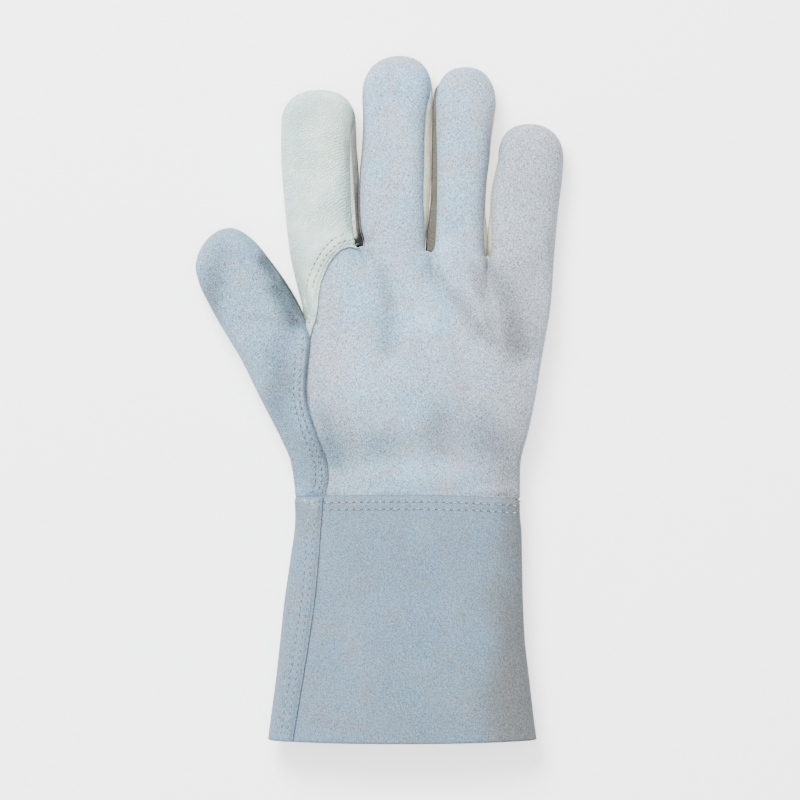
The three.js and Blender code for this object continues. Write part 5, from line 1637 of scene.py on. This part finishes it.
def even_points(xs, ys, pitch, start=0.0):
    """Points along a plan curve at an even pitch, with the direction at each."""
    length = run_length(xs, ys)
    at = np.arange(start + pitch / 2, length[-1] - pitch / 4, pitch)
    px, py = np.interp(at, length, xs), np.interp(at, length, ys)
    qx = np.interp(at + 0.4, length, xs) - np.interp(at - 0.4, length, xs)
    qy = np.interp(at + 0.4, length, ys) - np.interp(at - 0.4, length, ys)
    return px, py, np.arctan2(qy, qx)


def tube_quads(rings, sides):
    """Quads between the rings of a tube, ring after ring."""
    i, j = np.arange(rings - 1)[:, None] * sides, np.arange(sides)[None, :]
    k = (j + 1) % sides
    return np.stack([i + j, i + k, i + sides + k, i + sides + j], axis=-1).reshape(-1, 4)


def merged(name, parts, material):
    """One mesh object of parts that are points in millimetres with their quads."""
    starts = np.cumsum([0] + [len(points) for points, _ in parts])
    return mesh_object(name, np.concatenate([points for points, _ in parts]) * MM,
                       np.concatenate([quads + at for (_, quads), at in zip(parts, starts)]),
                       material)


def capsule(length, radius, sides=8, rings=9):
    """Points and quads of a stitch: a rod along X, arched, its ends bent down."""
    t = np.linspace(-1, 1, rings)[:, None]
    r = radius * np.sqrt(np.maximum(0.02, 1 - np.abs(t) ** 6))
    a = np.linspace(0, 2 * np.pi, sides, endpoint=False)[None, :]
    twist = 0.10 * radius * np.sin(3 * a + 9 * t)
    x = t * length / 2 + 0 * a
    y = (r + twist) * np.cos(a)
    z = (r + twist) * np.sin(a) - radius * 1.5 * t ** 4
    return np.stack([x, y, z], axis=-1).reshape(-1, 3), tube_quads(rings, sides)


def stitches(name, rows, surface, length, radius, material, seed):
    """Many stitches and, at their ends, dark discs painted as the shadow in the needle holes, on a
    surface along rows of (xs, ys, angles).
    """
    rng = np.random.default_rng(seed)
    shape, faces = capsule(length, radius)
    # Flattened dark discs, painted shadow of the needle holes at both ends of a stitch.
    pit, pit_faces = capsule(0.9, 0.34, 8, 5)
    pit = pit * np.array([1, 1, 0.55])
    threads, pits = [], []
    for x, y, angle in (place for row in rows for place in zip(*row)):
        hit, normal = surface(x, y)
        if hit is None:
            continue
        turn = angle + rng.normal(0, 0.05)
        along = Vector((math.cos(turn), math.sin(turn), 0))
        along = (along - normal * along.dot(normal)).normalized()
        basis = np.array([along, normal.cross(along), normal])
        centre = np.array(hit) / MM + np.array(normal) * radius * 0.35
        local = shape * np.array([1 + rng.normal(0, 0.04), 1, 1])
        threads.append((local @ basis + centre, faces))
        for end in (-1, 1):
            hole = centre + basis[0] * end * (length / 2 + 0.12) - basis[2] * 0.12
            pits.append((pit @ basis + hole, pit_faces))
    return [merged(name, threads, material), merged(name + "_hole_shadows", pits, needle_dark)]


def add_thread(objects):
    """Thread rides with the glove."""
    for obj in objects:
        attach(obj, "root")


surfaces = {name: drop_on(pieces[name][0]) for name in (
    "index_leather", "thumb_back", "cuff_leather")}
lap_line = lap_point(INDEX_LAP, np.linspace(0.4, LAP_LAST, 90))
index_rows = [even_points(*offset_path(*lap_line, d), 2.75, start)
              for d, start in zip(INDEX_ROWS, (16.0, 18.5))]
thumb_line = thumb_row(np.linspace(1.2, 9.6, 140))
thumb_rows = [even_points(*offset_path(thumb_line["inner_x"], thumb_line["inner_y"], d), 3.0, 0.6)
              for d in THUMB_ROWS]
wrist_x = np.linspace(-26.0, 64.5, 220)
wrist_q = between(wrist_x, CUFF["left"][-1], CUFF["right"][-1])
wrist_y = CUFF_TOP + 0.9 * (1 - wrist_q ** 2) - 1.2 * np.maximum(0, wrist_q) ** 2
wrist_rows = [even_points(wrist_x, wrist_y - d, 3.5) for d in (3.0, 6.4)]
cuff_y = np.linspace(-157.5, -53.5, 200)
cuff_x = sample(CUFF, cuff_y, "seam")
cuff_rows = [even_points(*offset_path(cuff_x, cuff_y, d), 3.3) for d in CUFF_ROWS]
for name, rows, leather, length, radius, thread, seed, slot in (
        ("index_stitches", index_rows, "index_leather", 1.9, 0.30, thread_cream, 21,
         "grain_leather"),
        ("thumb_stitches", thumb_rows, "thumb_back", 2.1, 0.26, thread_grey, 22,
         "split_leather"),
        ("wrist_stitches", wrist_rows, "cuff_leather", 2.5, 0.23, thread_wrist, 23,
         "split_leather"),
        ("cuff_seam_stitches", cuff_rows, "cuff_leather", 2.3, 0.22, thread_grey, 24,
         "split_leather")):
    add_thread(stitches(name, rows, surfaces[leather], length, radius, thread, seed))


THREAD_SIDES = 8


def thread_run(xs, ys, surface, radius):
    """Points and quads of a round thread through plan points, lying on a surface."""
    length = run_length(xs, ys)
    at = np.linspace(0, length[-1], int(length[-1] / 0.25) + 2)
    px, py = np.interp(at, length, xs), np.interp(at, length, ys)
    for _ in range(3):
        px[1:-1] = (px[:-2] + 2 * px[1:-1] + px[2:]) / 4
        py[1:-1] = (py[:-2] + 2 * py[1:-1] + py[2:]) / 4
    hits = [surface(x, y)[0] for x, y in zip(px, py)]
    z = np.array([hit.z / MM if hit is not None else 0.0 for hit in hits])
    z = z + radius * (0.7 + 0.5 * np.sin(at * 1.9))
    z[[0, -1]] -= radius * 1.6
    line = np.stack([px, py, z], axis=1)
    along = np.gradient(line, axis=0)
    along /= np.linalg.norm(along, axis=1, keepdims=True)
    side = np.cross(along, [0.0, 0.0, 1.0])
    side /= np.linalg.norm(side, axis=1, keepdims=True)
    over = np.cross(side, along)
    turn = np.linspace(0, 2 * np.pi, THREAD_SIDES, endpoint=False)[None, :, None]
    ring = (np.cos(turn) * side[:, None] + np.sin(turn) * over[:, None]) * radius
    quads = np.roll(tube_quads(len(at), THREAD_SIDES)[:, ::-1], 1, axis=1)
    return (line[:, None] + ring).reshape(-1, 3), quads


def tangle(path_x, path_y, count, spread, seed):
    """Short bent strands along a path, each turned a little away from it."""
    rng = np.random.default_rng(seed)
    share = (np.arange(count) + 0.5) / count
    steps = np.linspace(0, 1, len(path_x))
    cx, cy = np.interp(share, steps, path_x), np.interp(share, steps, path_y)
    strands = []
    for x, y in zip(cx + rng.normal(0, spread, count), cy):
        angle = rng.uniform(0, np.pi)
        along = np.linspace(-0.5, 0.5, 5) * rng.uniform(0.7, 1.5)
        bend = rng.normal(0, 0.5) * along ** 2
        strands.append((x + along * np.cos(angle) - bend * np.sin(angle),
                        y + along * np.sin(angle) + bend * np.cos(angle)))
    return strands


bartack = tangle([-35.0, -34.3], [-46.8, -48.8], 15, 0.42, 41)
bartack += tangle([-31.6, -30.6], [-47.6, -51.6], 22, 0.42, 42)
bartack += tangle([-29.0, -27.8], [-49.7, -49.0], 5, 0.25, 43)
runs = [thread_run(xs, ys, surfaces["cuff_leather"], 0.10) for xs, ys in bartack]
add_thread([merged("bartack_threads", runs, thread_yellow)])
print("stitches ready")

# %% [markdown]
# ## Floor, light and camera
#
# The glove lies on a white sweep and is seen straight from above with a long lens.
# One lamp would give hard shadows. A key light, a weak fill and a wide light overhead are
# set apart from each other, so that the folds show and the shadows stay soft.

# %% Floor, lights and camera


def add_floor():
    """A wide white plane just under the leather."""
    half, low = 6.0, -0.0002
    points = np.array([(-half, -half, low), (half, -half, low), (half, half, low),
                       (-half, half, low)])
    sweep = Nodes("white_sweep").finish({
        "Base Color": linear("#f6f6f6"), "Roughness": 0.9, "Specular IOR Level": 0.1,
        "Emission Color": (1, 1, 1, 1), "Emission Strength": 1.5})
    floor = mesh_object("floor", points, np.array([[0, 1, 2, 3]]), sweep)


def area_light(name, place, size, power, colour):
    """A square soft light at a place, facing the glove."""
    light = bpy.data.lights.new(name, "AREA")
    light.size, light.energy, light.color = size, power, colour
    obj = bpy.data.objects.new(name, light)
    obj.location = place
    obj.rotation_euler = (Vector() - Vector(place)).to_track_quat("-Z", "Y").to_euler()
    bpy.context.scene.collection.objects.link(obj)


add_floor()
area_light("key", (-0.5, 1.0, 1.5), 0.8, 92, (0.98, 0.99, 1.0))
area_light("left_fill", (-1.6, -0.6, 0.8), 1.0, 8, (0.88, 0.95, 1.0))
area_light("overhead", (0, 0, 2.4), 2.0, 52, (1, 1, 1))
world = bpy.data.worlds.new("studio")
world.use_nodes = True
background = world.node_tree.nodes["Background"].inputs
background["Color"].default_value = (1, 1, 1, 1)
background["Strength"].default_value = 0.40
bpy.context.scene.world = world

VIEW_X, VIEW_Y, VIEW_WIDTH, VIEW_DISTANCE, SENSOR_WIDTH = 9.5, -0.5, 376.0, 3.0, 36.0
camera_data = bpy.data.cameras.new("camera")
camera_data.sensor_width = SENSOR_WIDTH
camera_data.lens = SENSOR_WIDTH * VIEW_DISTANCE / (VIEW_WIDTH * MM)
camera_data.clip_end = 50
camera = bpy.data.objects.new("camera", camera_data)
camera.location = (VIEW_X * MM, VIEW_Y * MM, VIEW_DISTANCE + 0.012)
bpy.context.scene.collection.objects.link(camera)
bpy.context.scene.camera = camera
